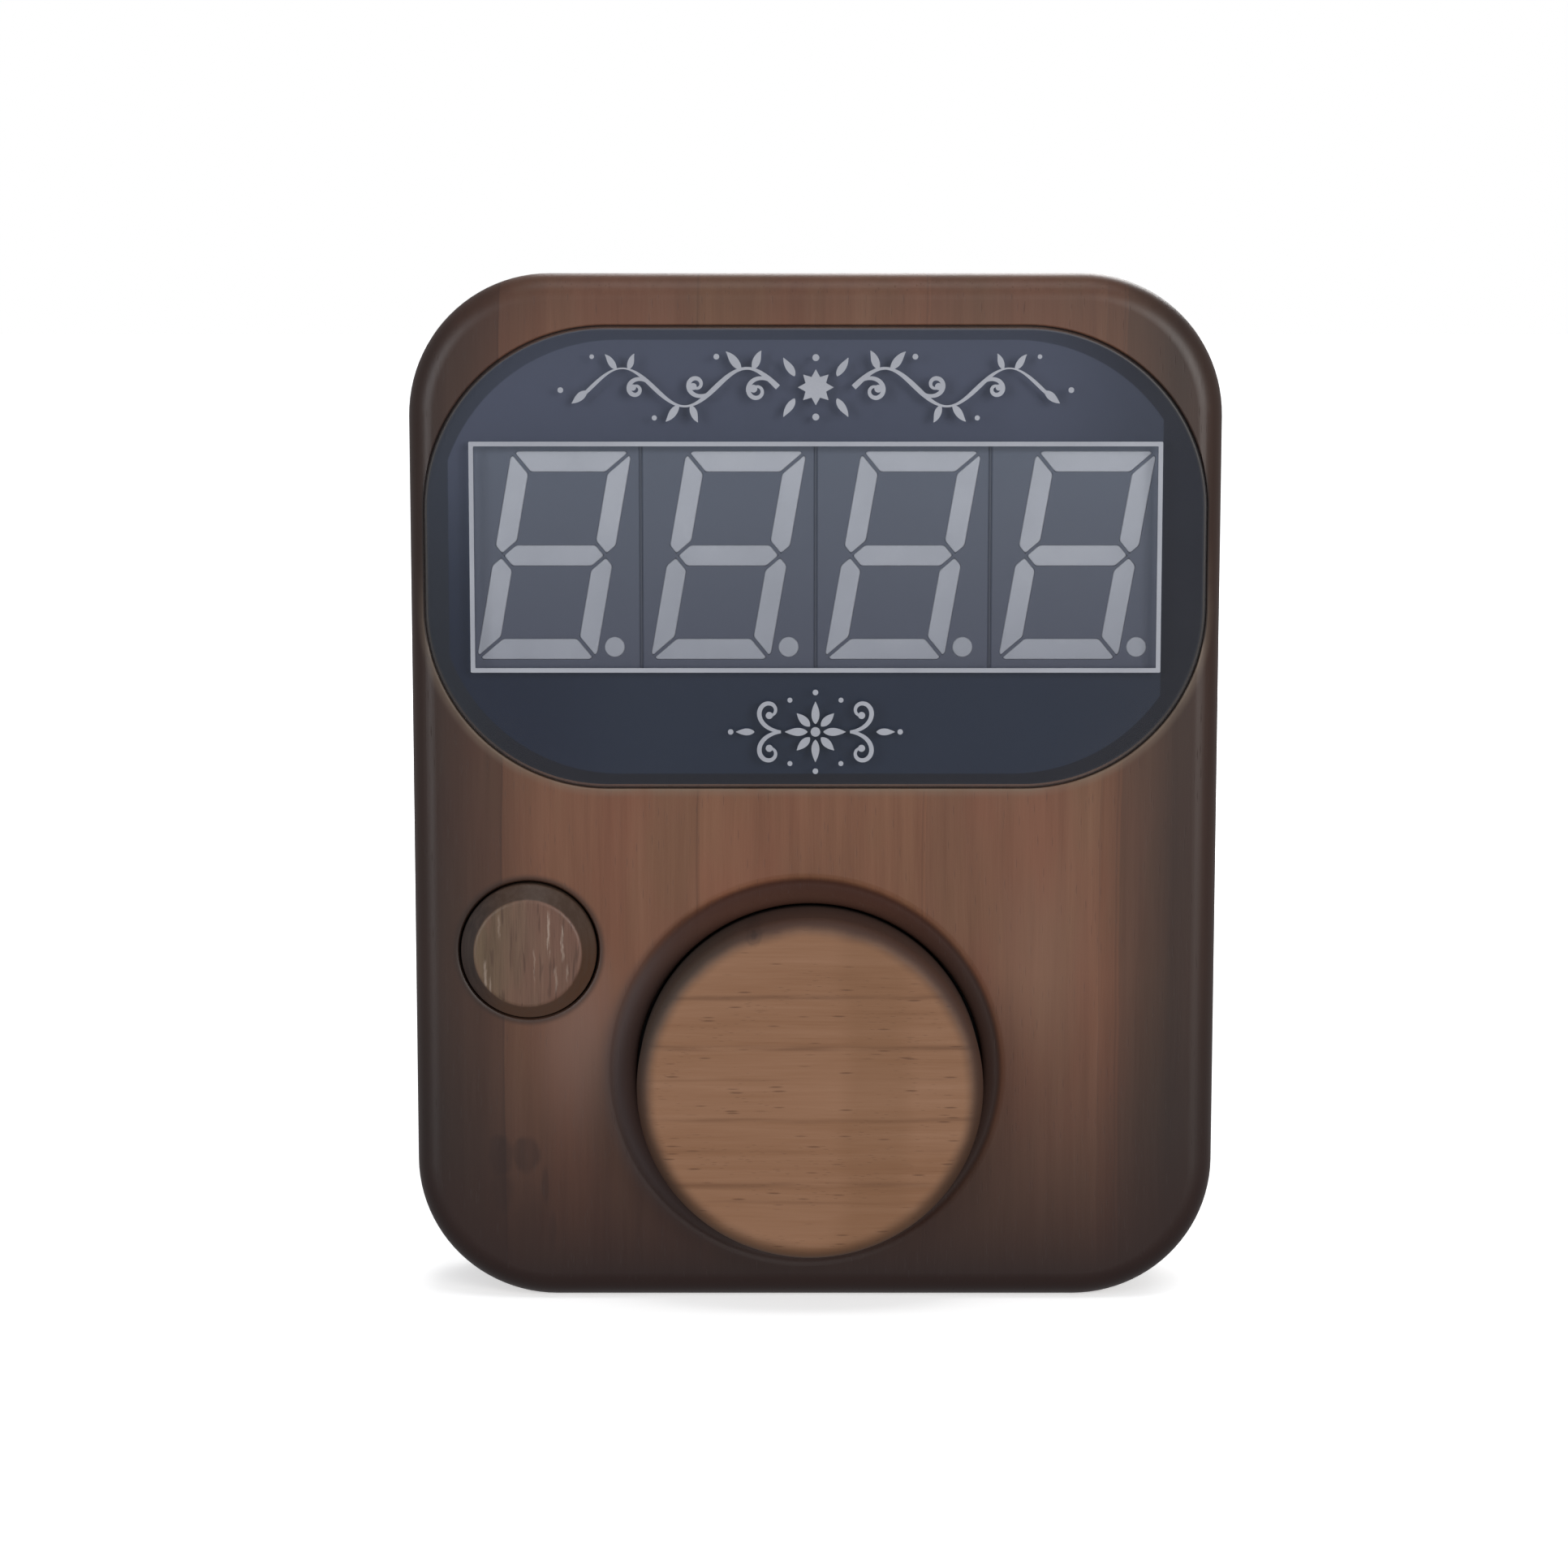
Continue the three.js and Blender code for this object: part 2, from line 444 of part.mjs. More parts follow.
// ---------------------------------------------------------------- battery bay
{
  const d = DOOR, zc = (d.z0 + d.z1) / 2;
  const outer = box(-33.5, 33.5, -21.5, -COVER_T - GAP, d.z0 - 3, d.z1 + 3);
  const inner = box(-31, 31, -20, 0, d.z0 + 0.6, d.z1 - 0.6);
  part("battery_tray", cut(outer, [inner]), "black");
  for (let i = 0; i < 4; i++) {
    const x = (i - 1.5) * CELL.pitch, up = i % 2 ? -1 : 1, h = CELL.len / 2;
    const prof = [[0, -h], [CELL.r - 0.5, -h], [CELL.r, -h + 0.5], [CELL.r, h - 0.6], [CELL.r - 0.6, h],
      [2.7, h], [2.7, h + 1.1], [0, h + 1.1]].map(([r, y]) => new THREE.Vector2(r, y));
    const g = new THREE.LatheGeometry(prof, 14).rotateX(up > 0 ? Math.PI / 2 : -Math.PI / 2).translate(x, CELL.y, zc);
    part(`battery_${i + 1}`, g, "cell");
  }
  // sprung contact strips at both ends of the cells
  for (const [name, z, s] of [["contact_upper", d.z1 - 0.9, -1], ["contact_lower", d.z0 + 0.9, 1]]) {
    const strip = box(-29, 29, -17.2, -7.2, Math.min(z, z + s * 0.5), Math.max(z, z + s * 0.5));
    const adds = [];
    for (let i = 0; i < 4; i++) {
      const x = (i - 1.5) * CELL.pitch;
      const nub = new THREE.CylinderGeometry(s > 0 ? 1.6 : 3.4, s > 0 ? 3.4 : 1.6, 3.2, 8)
        .rotateX(Math.PI / 2).translate(x, CELL.y, z + s * 1.8);
      adds.push(nub);
    }
    part(name, cut(strip, [], adds), "steel");
  }
  const door = loft([
    rrRing(60.8, 60.4, 0.8, -3.0, 2, 0, d.z0 + 0.8 + 30.2), rrRing(60.8, 60.4, 0.8, -1.2, 2, 0, d.z0 + 0.8 + 30.2),
    rrRing(60.0, 59.6, 0.6, -0.8, 2, 0, d.z0 + 0.8 + 30.2)]);
  const grips = [0, 1, 2, 3].map((k) => box(-9, 9, -1.5, 0, 74.4 + k * 1.9, 75.3 + k * 1.9));
  part("battery_door", cut(door, grips), "black");
}

// ---------------------------------------------------------------- power switch
{
  const { x, y } = PS;

  const flange = box(x - 16.4, x + 16.4, y - 4.8, y + 4.8, -110.9, -109.9);
  const can = box(x - 9.8, x + 9.8, y - 3.7, y + 3.7, -110.3, -100.6);
  const base = cut(flange, [box(x - 4.6, x + 4.6, y - 2.1, y + 2.1, -112, -106.5),
    turned([[0, -1], [1.2, -1], [1.2, 1], [0, 1]], 0, 0, 12).rotateX(Math.PI / 2).translate(x - 13.2, y, -110.4),
    turned([[0, -1], [1.2, -1], [1.2, 1], [0, 1]], 0, 0, 12).rotateX(Math.PI / 2).translate(x + 13.2, y, -110.4)],
  [can]);
  part("power_switch", base, "black");
  const k = x - 2.0;
  part("power_slider", cut(box(k - 2.25, k + 2.25, y - 1.7, y + 1.7, -113.4, -107),
    [0, 1, 2].map((n) => box(k - 1.4 + n * 1.2, k - 0.9 + n * 1.2, y - 3, y + 3, -114, -113.0))), "nylon");
}

// ---------------------------------------------------------------- leads inside the case
{
  const yb = BOARD.front + BOARD.t + 1.2;    // a lead's end lies on the board's back
  part("battery_lead", lead([[-35, -12, 78], [-40, -12.5, 77.5], [-47, -15, 73], [-51, -19, 67], [-52, -22.5, 62],
    [-52, -24, 57], [-52, yb + 0.3, 50]], 1.0, 20), "red");
  part("power_lead", lead([[48, -19.5, -99], [49, -18, -96], [58, -15, -92], [66, -14, -80], [69, -15, -55],
    [69, -17, -30], [66, -20, -8], [63, -23.2, 6], [62, yb + 0.3, 14], [62, yb + 0.3, 20]], 1.0, 28), "lead");
  part("count_lead", lead([[17.2, -17, -58], [21, -17.2, -52], [23, -17.4, -40], [24, -17.6, -22], [24, -19, -6],
    [24, -22.6, 5], [24, yb + 0.3, 13], [24, yb + 0.3, 19]], 1.0, 22), "lead");
  part("reset_lead", lead([[-63.4, -12.8, -16], [-63.4, -12.6, -9], [-62.5, -13.4, -3], [-60, -17.5, 4], [-58, -22, 10],
    [-57, yb + 0.3, 16], [-56, yb + 0.3, 21]], 1.0, 18), "lead");
}

export default group;
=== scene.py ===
import bpy
import bmesh
import math
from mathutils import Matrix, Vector


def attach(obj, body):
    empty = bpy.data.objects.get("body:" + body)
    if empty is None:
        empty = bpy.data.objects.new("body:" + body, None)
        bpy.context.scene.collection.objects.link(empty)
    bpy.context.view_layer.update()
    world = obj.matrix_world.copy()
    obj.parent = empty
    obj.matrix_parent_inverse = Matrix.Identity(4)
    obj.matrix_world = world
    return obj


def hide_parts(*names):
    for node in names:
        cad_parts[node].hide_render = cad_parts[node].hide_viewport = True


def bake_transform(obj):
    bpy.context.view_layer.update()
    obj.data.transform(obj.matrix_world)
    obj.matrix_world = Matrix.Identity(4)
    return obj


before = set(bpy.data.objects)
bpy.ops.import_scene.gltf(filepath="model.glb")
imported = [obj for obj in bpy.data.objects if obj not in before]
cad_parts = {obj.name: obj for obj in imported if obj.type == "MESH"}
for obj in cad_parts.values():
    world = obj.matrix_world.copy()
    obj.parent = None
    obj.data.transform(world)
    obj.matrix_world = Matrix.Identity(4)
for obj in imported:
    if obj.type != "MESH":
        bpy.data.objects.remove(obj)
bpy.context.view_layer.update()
scene = bpy.context.scene
for stray in ("Cube", "Light", "Camera"):
    if stray in bpy.data.objects:
        bpy.data.objects.remove(bpy.data.objects[stray])
MM = 0.001

# ------------------------------------------------------------------ sizes, in mm
BODY_W, BODY_H, CORNER_R, EDGE_R = 178.0, 228.0, 31.0, 6.0
FRONT_Y, WALL_Y, BODY_BACK_Y, COVER_T = -42.0, -33.0, -4.3, 4.0
PANEL_W, PANEL_H, PANEL_R, PANEL_Z = 170.6, 100.4, 39.6, 52.1
PANEL_FRONT, PANEL_BACK, RECESS_Y = -43.3, -40.3, -40.0
BAND, FIELD_R, FIELD_X0, FIELD_X1 = 2.7, 39.4, -80.3, 75.85  # dark border of the panel and the field inside it
OUTLINE_W, OUTLINE_H, OUTLINE_T, OUTLINE_Z = 151.0, 50.4, 1.0, 52.45
CBX, CBZ = -1.2, -63.2                       # count button centre
DISHX, DISHZ = -2.1, -61.9                   # centre of the dished rim
RBX, RBZ = -63.4, -34.65                     # reset button centre
MODULE_Z, MODULE_F, PITCH = 52.65, -39.7, 38.2
POCKET = 0.6

# ------------------------------------------------------------------ camera
CAM_D, CAM_PITCH = 0.80, 7.4
camera_data = bpy.data.cameras.new("view_camera")
camera_data.sensor_width = 36.0
camera_data.lens = 84.1
camera_data.clip_start = 0.05
camera_data.clip_end = 60.0
camera = bpy.data.objects.new("view_camera", camera_data)
scene.collection.objects.link(camera)
camera.location = (-0.0069, -0.042 - CAM_D, 0.1064)
camera.rotation_euler = (math.radians(90.0 - CAM_PITCH), 0.0, 0.0)
scene.camera = camera


# ------------------------------------------------------------------ mesh code
def build(name, verts, faces):
    me = bpy.data.meshes.new(name)
    me.from_pydata([(x * MM, y * MM, z * MM) for x, y, z in verts], [], faces)
    bm = bmesh.new()
    bm.from_mesh(me)
    bmesh.ops.remove_doubles(bm, verts=bm.verts, dist=1e-7)
    bmesh.ops.recalc_face_normals(bm, faces=bm.faces)
    bm.to_mesh(me)
    bm.free()
    ob = bpy.data.objects.new(name, me)
    scene.collection.objects.link(ob)
    return ob


def rr_ring(w, h, r, y, seg=24, cx=0.0, cz=0.0):
    out = []
    for x, z, a0 in ((w / 2 - r, -h / 2 + r, -90), (w / 2 - r, h / 2 - r, 0),
                     (-w / 2 + r, h / 2 - r, 90), (-w / 2 + r, -h / 2 + r, 180)):
        for i in range(seg + 1):
            a = math.radians(a0 + 90.0 * i / seg)
            out.append((cx + x + r * math.cos(a), y, cz + z + r * math.sin(a)))
    return out


def loft(name, rings):
    n = len(rings[0])
    verts = [p for ring in rings for p in ring]
    faces = []
    for k in range(len(rings) - 1):
        for i in range(n):
            a, b = k * n + i, k * n + (i + 1) % n
            faces.append((a, b, b + n, a + n))
    faces.append(tuple(range(n)))
    faces.append(tuple(reversed(range((len(rings) - 1) * n, len(rings) * n))))
    return build(name, verts, faces)


def lathe(name, profile, cx, cz, seg=96):
    verts, rings, faces = [], [], []
    for r, y in profile:
        if r < 1e-6:
            rings.append([len(verts)])
            verts.append((cx, y, cz))
        else:
            rings.append(list(range(len(verts), len(verts) + seg)))
            for i in range(seg):
                a = 2 * math.pi * i / seg
                verts.append((cx + r * math.cos(a), y, cz + r * math.sin(a)))
    for p, q in zip(rings, rings[1:]):
        for i in range(seg):
            j = (i + 1) % seg
            if len(p) == 1 and len(q) == 1:
                continue
            if len(p) == 1:
                faces.append((p[0], q[i], q[j]))
            elif len(q) == 1:
                faces.append((p[i], q[0], p[j]))
            else:
                faces.append((p[i], q[i], q[j], p[j]))
    return build(name, verts, faces)


def prism(name, outlines, y0, y1, top_inset=0.0):
    """Closed outlines in X and Z, each made a solid from y0 (front) to y1 (back)."""
    verts, faces = [], []
    for outline in outlines:
        n, base = len(outline), len(verts)
        front = inset(outline, top_inset) if top_inset else outline
        layers = [(front, y0)]
        if top_inset:
            layers.append((outline, y0 + top_inset))
        layers.append((outline, y1))
        for pts, y in layers:
            verts += [(x, y, z) for x, z in pts]
        for k in range(len(layers) - 1):
            for i in range(n):
                a, b = base + k * n + i, base + k * n + (i + 1) % n
                faces.append((a, b, b + n, a + n))
        faces.append(tuple(base + i for i in range(n)))
        faces.append(tuple(base + (len(layers) - 1) * n + i for i in reversed(range(n))))
    return build(name, verts, faces)


def area2(p):
    return sum(p[i][0] * p[(i + 1) % len(p)][1] - p[(i + 1) % len(p)][0] * p[i][1] for i in range(len(p)))


def inset(p, d):
    """A convex outline moved inwards by d."""
    s = 1.0 if area2(p) > 0 else -1.0
    n, out = len(p), []
    for i in range(n):
        (ax, az), (bx, bz), (cx, cz) = p[i - 1], p[i], p[(i + 1) % n]
        u, v = Vector((bx - ax, bz - az)).normalized(), Vector((cx - bx, cz - bz)).normalized()
        nu, nv = Vector((-u.y, u.x)) * s, Vector((-v.y, v.x)) * s
        k = d / max(0.2, 1.0 + nu.dot(nv))
        out.append((bx + (nu.x + nv.x) * k, bz + (nu.y + nv.y) * k))
    return out


def rounded(p, r, steps=4):
    """A convex outline with its corners rounded."""
    out, n = [], len(p)
    for i in range(n):
        a, b, c = Vector(p[i - 1]), Vector(p[i]), Vector(p[(i + 1) % n])
        u, v = (a - b), (c - b)
        k = min(r, u.length * 0.45, v.length * 0.45)
        s, e = b + u.normalized() * k, b + v.normalized() * k
        for j in range(steps + 1):
            t = j / steps
            q = s * (1 - t) ** 2 + b * 2 * t * (1 - t) + e * t * t
            out.append((q.x, q.y))
    return out


def box(x0, x1, y0, y1, z0, z1, name="box"):
    v = [(x, y, z) for x in (x0, x1) for y in (y0, y1) for z in (z0, z1)]
    return build(name, v, [(0, 1, 3, 2), (4, 6, 7, 5), (0, 4, 5, 1), (2, 3, 7, 6), (0, 2, 6, 4), (1, 5, 7, 3)])


def carve(ob, tools, operation="DIFFERENCE"):
    for t in tools:
        m = ob.modifiers.new("cut", "BOOLEAN")
        m.operation, m.solver, m.object = operation, "MANIFOLD", t
    dg = bpy.context.evaluated_depsgraph_get()
    dg.update()
    new = bpy.data.meshes.new_from_object(ob.evaluated_get(dg))
    ob.modifiers.clear()
    old, ob.data = ob.data, new
    new.name = ob.name
    bpy.data.meshes.remove(old)
    for t in tools:
        bpy.data.objects.remove(t)
    return ob


def smooth(ob, angle=28.0, weighted=True):
    ob.data.shade_smooth()
    ob.data.set_sharp_from_angle(angle=math.radians(angle))
    if weighted:
        w = ob.modifiers.new("face_normals", "WEIGHTED_NORMAL")
        w.keep_sharp = True
        w.weight = 70
    return ob


def piece(ob, body, mat, slot, *nodes):
    ob.data.materials.clear()
    ob.data.materials.append(mat)
    if nodes:
        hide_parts(*nodes)
    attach(ob, body)
    return ob


# ------------------------------------------------------------------ node code
class Look:
    """A Principled material with a few short calls for its node tree."""

    def __init__(self, name, base=(0.5, 0.5, 0.5), rough=0.5, metal=0.0, **more):
        self.m = bpy.data.materials.new(name)
        self.m.use_nodes = True
        self.t = self.m.node_tree
        self.t.nodes.clear()
        out = self.t.nodes.new("ShaderNodeOutputMaterial")
        self.p = self.t.nodes.new("ShaderNodeBsdfPrincipled")
        self.t.links.new(self.p.outputs[0], out.inputs[0])
        self.p.inputs["Base Color"].default_value = (*base, 1.0)
        self.p.inputs["Roughness"].default_value = rough
        self.p.inputs["Metallic"].default_value = metal
        for key, value in more.items():
            self.p.inputs[key.replace("_", " ")].default_value = value
        self.m.diffuse_color = (*base, 1.0)
        self._xyz = None

    def node(self, kind, **props):
        n = self.t.nodes.new(kind)
        for k, v in props.items():
            setattr(n, k, v)
        return n

    def put(self, socket, value):
        if hasattr(value, "is_output"):
            self.t.links.new(value, socket)
        elif value is not None:
            socket.default_value = value

    def place(self):
        if self._xyz is None:
            self._xyz = self.node("ShaderNodeTexCoord").outputs["Object"]
        return self._xyz

    def scaled(self, sx, sy, sz, off=(0.0, 0.0, 0.0), vec=None):
        """Object coordinates in millimetres, times these factors."""
        n = self.node("ShaderNodeMapping")
        self.put(n.inputs["Vector"], vec if vec is not None else self.place())
        k = 1.0 if vec is not None else 1000.0
        n.inputs["Scale"].default_value = (sx * k, sy * k, sz * k)
        n.inputs["Location"].default_value = off
        return n.outputs[0]

    def xyz(self, vec=None):
        n = self.node("ShaderNodeSeparateXYZ")
        self.put(n.inputs[0], vec if vec is not None else self.scaled(1, 1, 1))
        return n.outputs[0], n.outputs[1], n.outputs[2]

    def noise(self, vec, scale=1.0, detail=3.0, rough=0.55, distort=0.0, colour=False):
        n = self.node("ShaderNodeTexNoise")
        self.put(n.inputs["Vector"], vec)
        n.inputs["Scale"].default_value = scale
        n.inputs["Detail"].default_value = detail
        n.inputs["Roughness"].default_value = rough
        n.inputs["Distortion"].default_value = distort
        return n.outputs["Color" if colour else "Fac"]

    def calc(self, op, a, b=None, c=None, clamp=False):
        n = self.node("ShaderNodeMath", operation=op, use_clamp=clamp)
        for s, v in zip(n.inputs, (a, b, c)):
            self.put(s, v)
        return n.outputs[0]

    def vec(self, op, a, b=None, c=None):
        n = self.node("ShaderNodeVectorMath", operation=op)
        for s, v in zip(n.inputs, (a, b, c)):
            self.put(s, v)
        return n.outputs["Value" if op in ("LENGTH", "DISTANCE", "DOT_PRODUCT") else "Vector"]

    def span(self, v, a, b, c=0.0, d=1.0, kind="SMOOTHSTEP"):
        n = self.node("ShaderNodeMapRange", interpolation_type=kind)
        n.clamp = True
        self.put(n.inputs["Value"], v)
        for key, x in (("From Min", a), ("From Max", b), ("To Min", c), ("To Max", d)):
            self.put(n.inputs[key], x)
        return n.outputs["Result"]

    def mix(self, fac, a, b, blend="MIX"):
        n = self.node("ShaderNodeMix", data_type="RGBA", blend_type=blend)
        self.put(n.inputs[0], fac)
        for s, v in ((n.inputs[6], a), (n.inputs[7], b)):
            self.put(s, (*v, 1.0) if isinstance(v, tuple) and len(v) == 3 else v)
        return n.outputs[2]

    def ramp(self, fac, stops, kind="LINEAR"):
        n = self.node("ShaderNodeValToRGB")
        cr = n.color_ramp
        cr.interpolation = kind
        while len(cr.elements) < len(stops):
            cr.elements.new(0.5)
        for e, (pos, col) in zip(cr.elements, stops):
            e.position = pos
            e.color = (*col, 1.0) if len(col) == 3 else col
        self.put(n.inputs[0], fac)
        return n.outputs[0]

    def grey(self, v):
        n = self.node("ShaderNodeCombineColor")
        for i in range(3):
            self.put(n.inputs[i], v)
        return n.outputs[0]

    def colour(self, v):
        self.put(self.p.inputs["Base Color"], v)

    def roughness(self, v):
        self.put(self.p.inputs["Roughness"], v)

    def bump(self, height, strength=0.3, distance=0.0001, normal=None):
        n = self.node("ShaderNodeBump")
        n.inputs["Strength"].default_value = strength
        n.inputs["Distance"].default_value = distance
        self.put(n.inputs["Height"], height)
        if normal is not None:
            self.put(n.inputs["Normal"], normal)
        self.put(self.p.inputs["Normal"], n.outputs[0])
        return n.outputs[0]


def round_rect_distance(k, w, h, r, cz):
    """Signed distance in mm to a rounded rectangle in X and Z, negative inside."""
    x, _, z = k.xyz()
    qx = k.calc("SUBTRACT", k.calc("ABSOLUTE", x), w / 2 - r)
    qz = k.calc("SUBTRACT", k.calc("ABSOLUTE", k.calc("SUBTRACT", z, cz)), h / 2 - r)
    px, pz = k.calc("MAXIMUM", qx, 0.0), k.calc("MAXIMUM", qz, 0.0)
    far = k.calc("SQRT", k.calc("ADD", k.calc("MULTIPLY", px, px), k.calc("MULTIPLY", pz, pz)))
    near = k.calc("MINIMUM", k.calc("MAXIMUM", qx, qz), 0.0)
    return k.calc("SUBTRACT", k.calc("ADD", far, near), r)


def radius_from(k, cx, cz):
    x, _, z = k.xyz()
    dx, dz = k.calc("SUBTRACT", x, cx), k.calc("SUBTRACT", z, cz)
    return k.calc("SQRT", k.calc("ADD", k.calc("MULTIPLY", dx, dx), k.calc("MULTIPLY", dz, dz))), dx, dz


def wavy(k, amount, scale):
    """Coordinates in mm, bent a little sideways so that no grain line runs dead straight."""
    n = k.noise(k.scaled(*scale), detail=2.0, colour=True)
    off = k.vec("MULTIPLY_ADD", n, amount, tuple(-0.5 * a for a in amount))
    return k.vec("ADD", k.scaled(1, 1, 1), off)


# ------------------------------------------------------------------ looks
def stained_wood():
    k = Look("stained_wood_look", (0.13, 0.055, 0.03), 0.46, Specular_IOR_Level=0.36)
    p = wavy(k, (2.4, 2.4, 0.0), (0.03, 0.03, 0.012))
    x, y, z = k.xyz()
    # grain runs up the block: broad figure, growth lines, fibres
    broad = k.noise(k.scaled(0.035, 0.035, 0.009, vec=p), detail=2.0)
    lines = k.noise(k.scaled(0.34, 0.34, 0.012, vec=p), detail=4.0, rough=0.6)
    fibre = k.noise(k.scaled(2.6, 2.6, 0.07, vec=p), detail=3.0, rough=0.65)
    tone = k.calc("ADD", k.calc("MULTIPLY", broad, 0.50), k.calc("ADD", k.calc("MULTIPLY", lines, 0.38), k.calc("MULTIPLY", fibre, 0.12)))
    col = k.ramp(tone, [(0.30, (0.100, 0.037, 0.019)), (0.44, (0.132, 0.054, 0.029)), (0.56, (0.156, 0.067, 0.037)),
                        (0.72, (0.188, 0.087, 0.052))])
    # patches where the stain took redder, or more olive
    hue = k.noise(k.scaled(0.065, 0.065, 0.022, (4.0, 0.0, 9.0), vec=p), detail=3.0)
    col = k.mix(1.0, col, k.ramp(hue, [(0.36, (0.95, 1.02, 0.99)), (0.50, (0.985, 1.0, 1.0)), (0.64, (1.02, 0.965, 0.965))]), "MULTIPLY")
    # strips glued side by side, each a shade apart, with a hair of dark glue between
    xs = k.calc("ADD", x, k.calc("MULTIPLY", k.calc("SUBTRACT", k.noise(k.scaled(0.0, 0.0, 0.012)), 0.5), 3.0))
    strip = k.ramp(k.span(xs, -90.0, 90.0, kind="LINEAR"),
                   [(0.0, (0.66, 0.67, 0.70)), (0.1156, (0.95, 0.96, 0.97)), (0.356, (1.06, 1.06, 1.05)), (0.633, (0.93, 0.95, 0.96)),
                    (0.8506, (0.80, 0.77, 0.76)), (0.8711, (0.64, 0.65, 0.68))], "CONSTANT")
    col = k.mix(1.0, col, strip, "MULTIPLY")
    joint = None
    for at in (-69.2, -25.9, 23.9, 63.1, 66.8):
        d = k.span(k.calc("ABSOLUTE", k.calc("SUBTRACT", xs, at)), 0.08, 0.3, 1.0, 0.0)
        joint = d if joint is None else k.calc("MAXIMUM", joint, d)
    col = k.mix(k.calc("MULTIPLY", joint, 0.24), col, (0.045, 0.018, 0.011))
    # pores: short dark dashes along the grain
    v = k.node("ShaderNodeTexVoronoi")
    k.put(v.inputs["Vector"], k.scaled(1.5, 1.5, 0.16, vec=p))
    v.inputs["Scale"].default_value = 1.0
    seen = k.span(k.xyz(v.outputs["Color"])[0], 0.35, 0.65)
    pore = k.calc("MULTIPLY", k.span(v.outputs["Distance"], 0.10, 0.26, 1.0, 0.0), seen)
    col = k.mix(k.calc("MULTIPLY", pore, 0.30), col, (0.045, 0.018, 0.011))
    # a knot low on the left: two dark lobes and a streak below them
    warp = k.calc("MULTIPLY", k.calc("SUBTRACT", k.noise(k.scaled(0.20, 0.20, 0.16), detail=2.0), 0.5), 0.7)
    knot = None
    for ax, az, rx, rz, amt, soft in ((-70.1, -81.2, 3.1, 4.8, 0.95, 0.70), (-64.4, -81.0, 3.4, 4.2, 0.85, 0.70), (-60.2, -88.2, 1.0, 5.2, 1.0, 0.45),
                                      (-69.8, -89.5, 2.8, 5.4, 0.65, 0.45), (-63.0, -96.5, 5.0, 9.5, 0.45, 0.30), (-58.7, -98.5, 1.3, 6.0, 0.6, 0.40)):
        ex, ez = k.calc("DIVIDE", k.calc("SUBTRACT", x, ax), rx), k.calc("DIVIDE", k.calc("SUBTRACT", z, az), rz)
        er = k.calc("ADD", k.calc("SQRT", k.calc("ADD", k.calc("MULTIPLY", ex, ex), k.calc("MULTIPLY", ez, ez))), warp)
        m = k.span(er, soft, 1.12, amt, 0.0)
        knot = m if knot is None else k.calc("MAXIMUM", knot, m)
    rings = k.span(k.calc("SINE", k.calc("MULTIPLY", k.calc("ADD", k.calc("MULTIPLY", warp, 6.0), k.calc("MULTIPLY", x, 1.6)), 1.0)), -1.0, 1.0, 0.7, 1.0)
    col = k.mix(k.calc("MULTIPLY", k.calc("MULTIPLY", knot, rings), 0.62), col, (0.030, 0.011, 0.008))
    # two paler patches: a painted sheen, the soft reflection on the finish
    for ax, az, rx, rz, amt in ((-52.0, -56.0, 11.0, 25.0, 0.50), (50.0, -38.0, 13.0, 24.0, 0.16)):
        ex, ez = k.calc("DIVIDE", k.calc("SUBTRACT", x, ax), rx), k.calc("DIVIDE", k.calc("SUBTRACT", z, az), rz)
        er = k.calc("SQRT", k.calc("ADD", k.calc("MULTIPLY", ex, ex), k.calc("MULTIPLY", ez, ez)))
        er = k.calc("ADD", er, k.calc("MULTIPLY", k.calc("SUBTRACT", lines, 0.5), 0.8))
        col = k.mix(k.span(er, 0.1, 1.25, amt, 0.0), col, (0.205, 0.118, 0.090))
    # painted shade: the wood darker towards the outside of the block, at the very top and low down, redder at the foot,
    # less on the sides
    right = k.span(x, 63.5, 79.0, 1.0, 0.24, "LINEAR")
    left = k.span(x, -58.0, -84.0, 1.0, 0.16, "LINEAR")
    low = k.span(z, -40.0, -108.0, 1.0, 0.02, "LINEAR")
    high = k.span(z, 84.0, 112.0, 1.0, 0.55, "LINEAR")
    unshaded_share = k.calc("MULTIPLY", k.calc("MULTIPLY", right, left), k.calc("MULTIPLY", low, high))
    face = k.span(y, -34.0, -41.0, 0.50, 1.0)
    painted_shade = k.calc("MULTIPLY", k.calc("SUBTRACT", 1.0, unshaded_share), face)
    col = k.mix(painted_shade, col, k.mix(k.span(z, -68.0, -98.0), (0.0105, 0.0060, 0.0052), (0.0125, 0.0040, 0.0028)))
    # the recess's lower edge, painted paler: a painted highlight where its chamfer catches the light
    d = round_rect_distance(k, PANEL_W + 0.8, PANEL_H + 0.8, PANEL_R + 0.4, PANEL_Z)
    below = k.span(z, PANEL_Z + 8.0, PANEL_Z - 26.0)
    painted_edge_highlight = k.calc("ADD", k.span(d, 0.25, 0.75, 0.34, 0.0), k.span(d, 0.4, 2.3, 0.40, 0.0), clamp=True)
    painted_edge_highlight = k.calc("MULTIPLY", k.calc("MULTIPLY", painted_edge_highlight, below), k.span(d, -0.3, 0.1))
    painted_edge_highlight = k.calc("MULTIPLY", painted_edge_highlight, k.span(k.noise(k.scaled(0.12, 0.12, 0.12), detail=3.0), 0.25, 0.6, 0.55, 1.0))
    col = k.mix(painted_edge_highlight, col, (0.150, 0.112, 0.082))
    # the recess's own wall, in shadow behind the plate's edge
    gap = k.calc("MULTIPLY", k.span(y, FRONT_Y + 0.25, FRONT_Y + 0.5), k.span(k.calc("ABSOLUTE", d), 0.15, 0.4, 0.85, 0.0))
    col = k.mix(gap, col, (0.011, 0.006, 0.005))
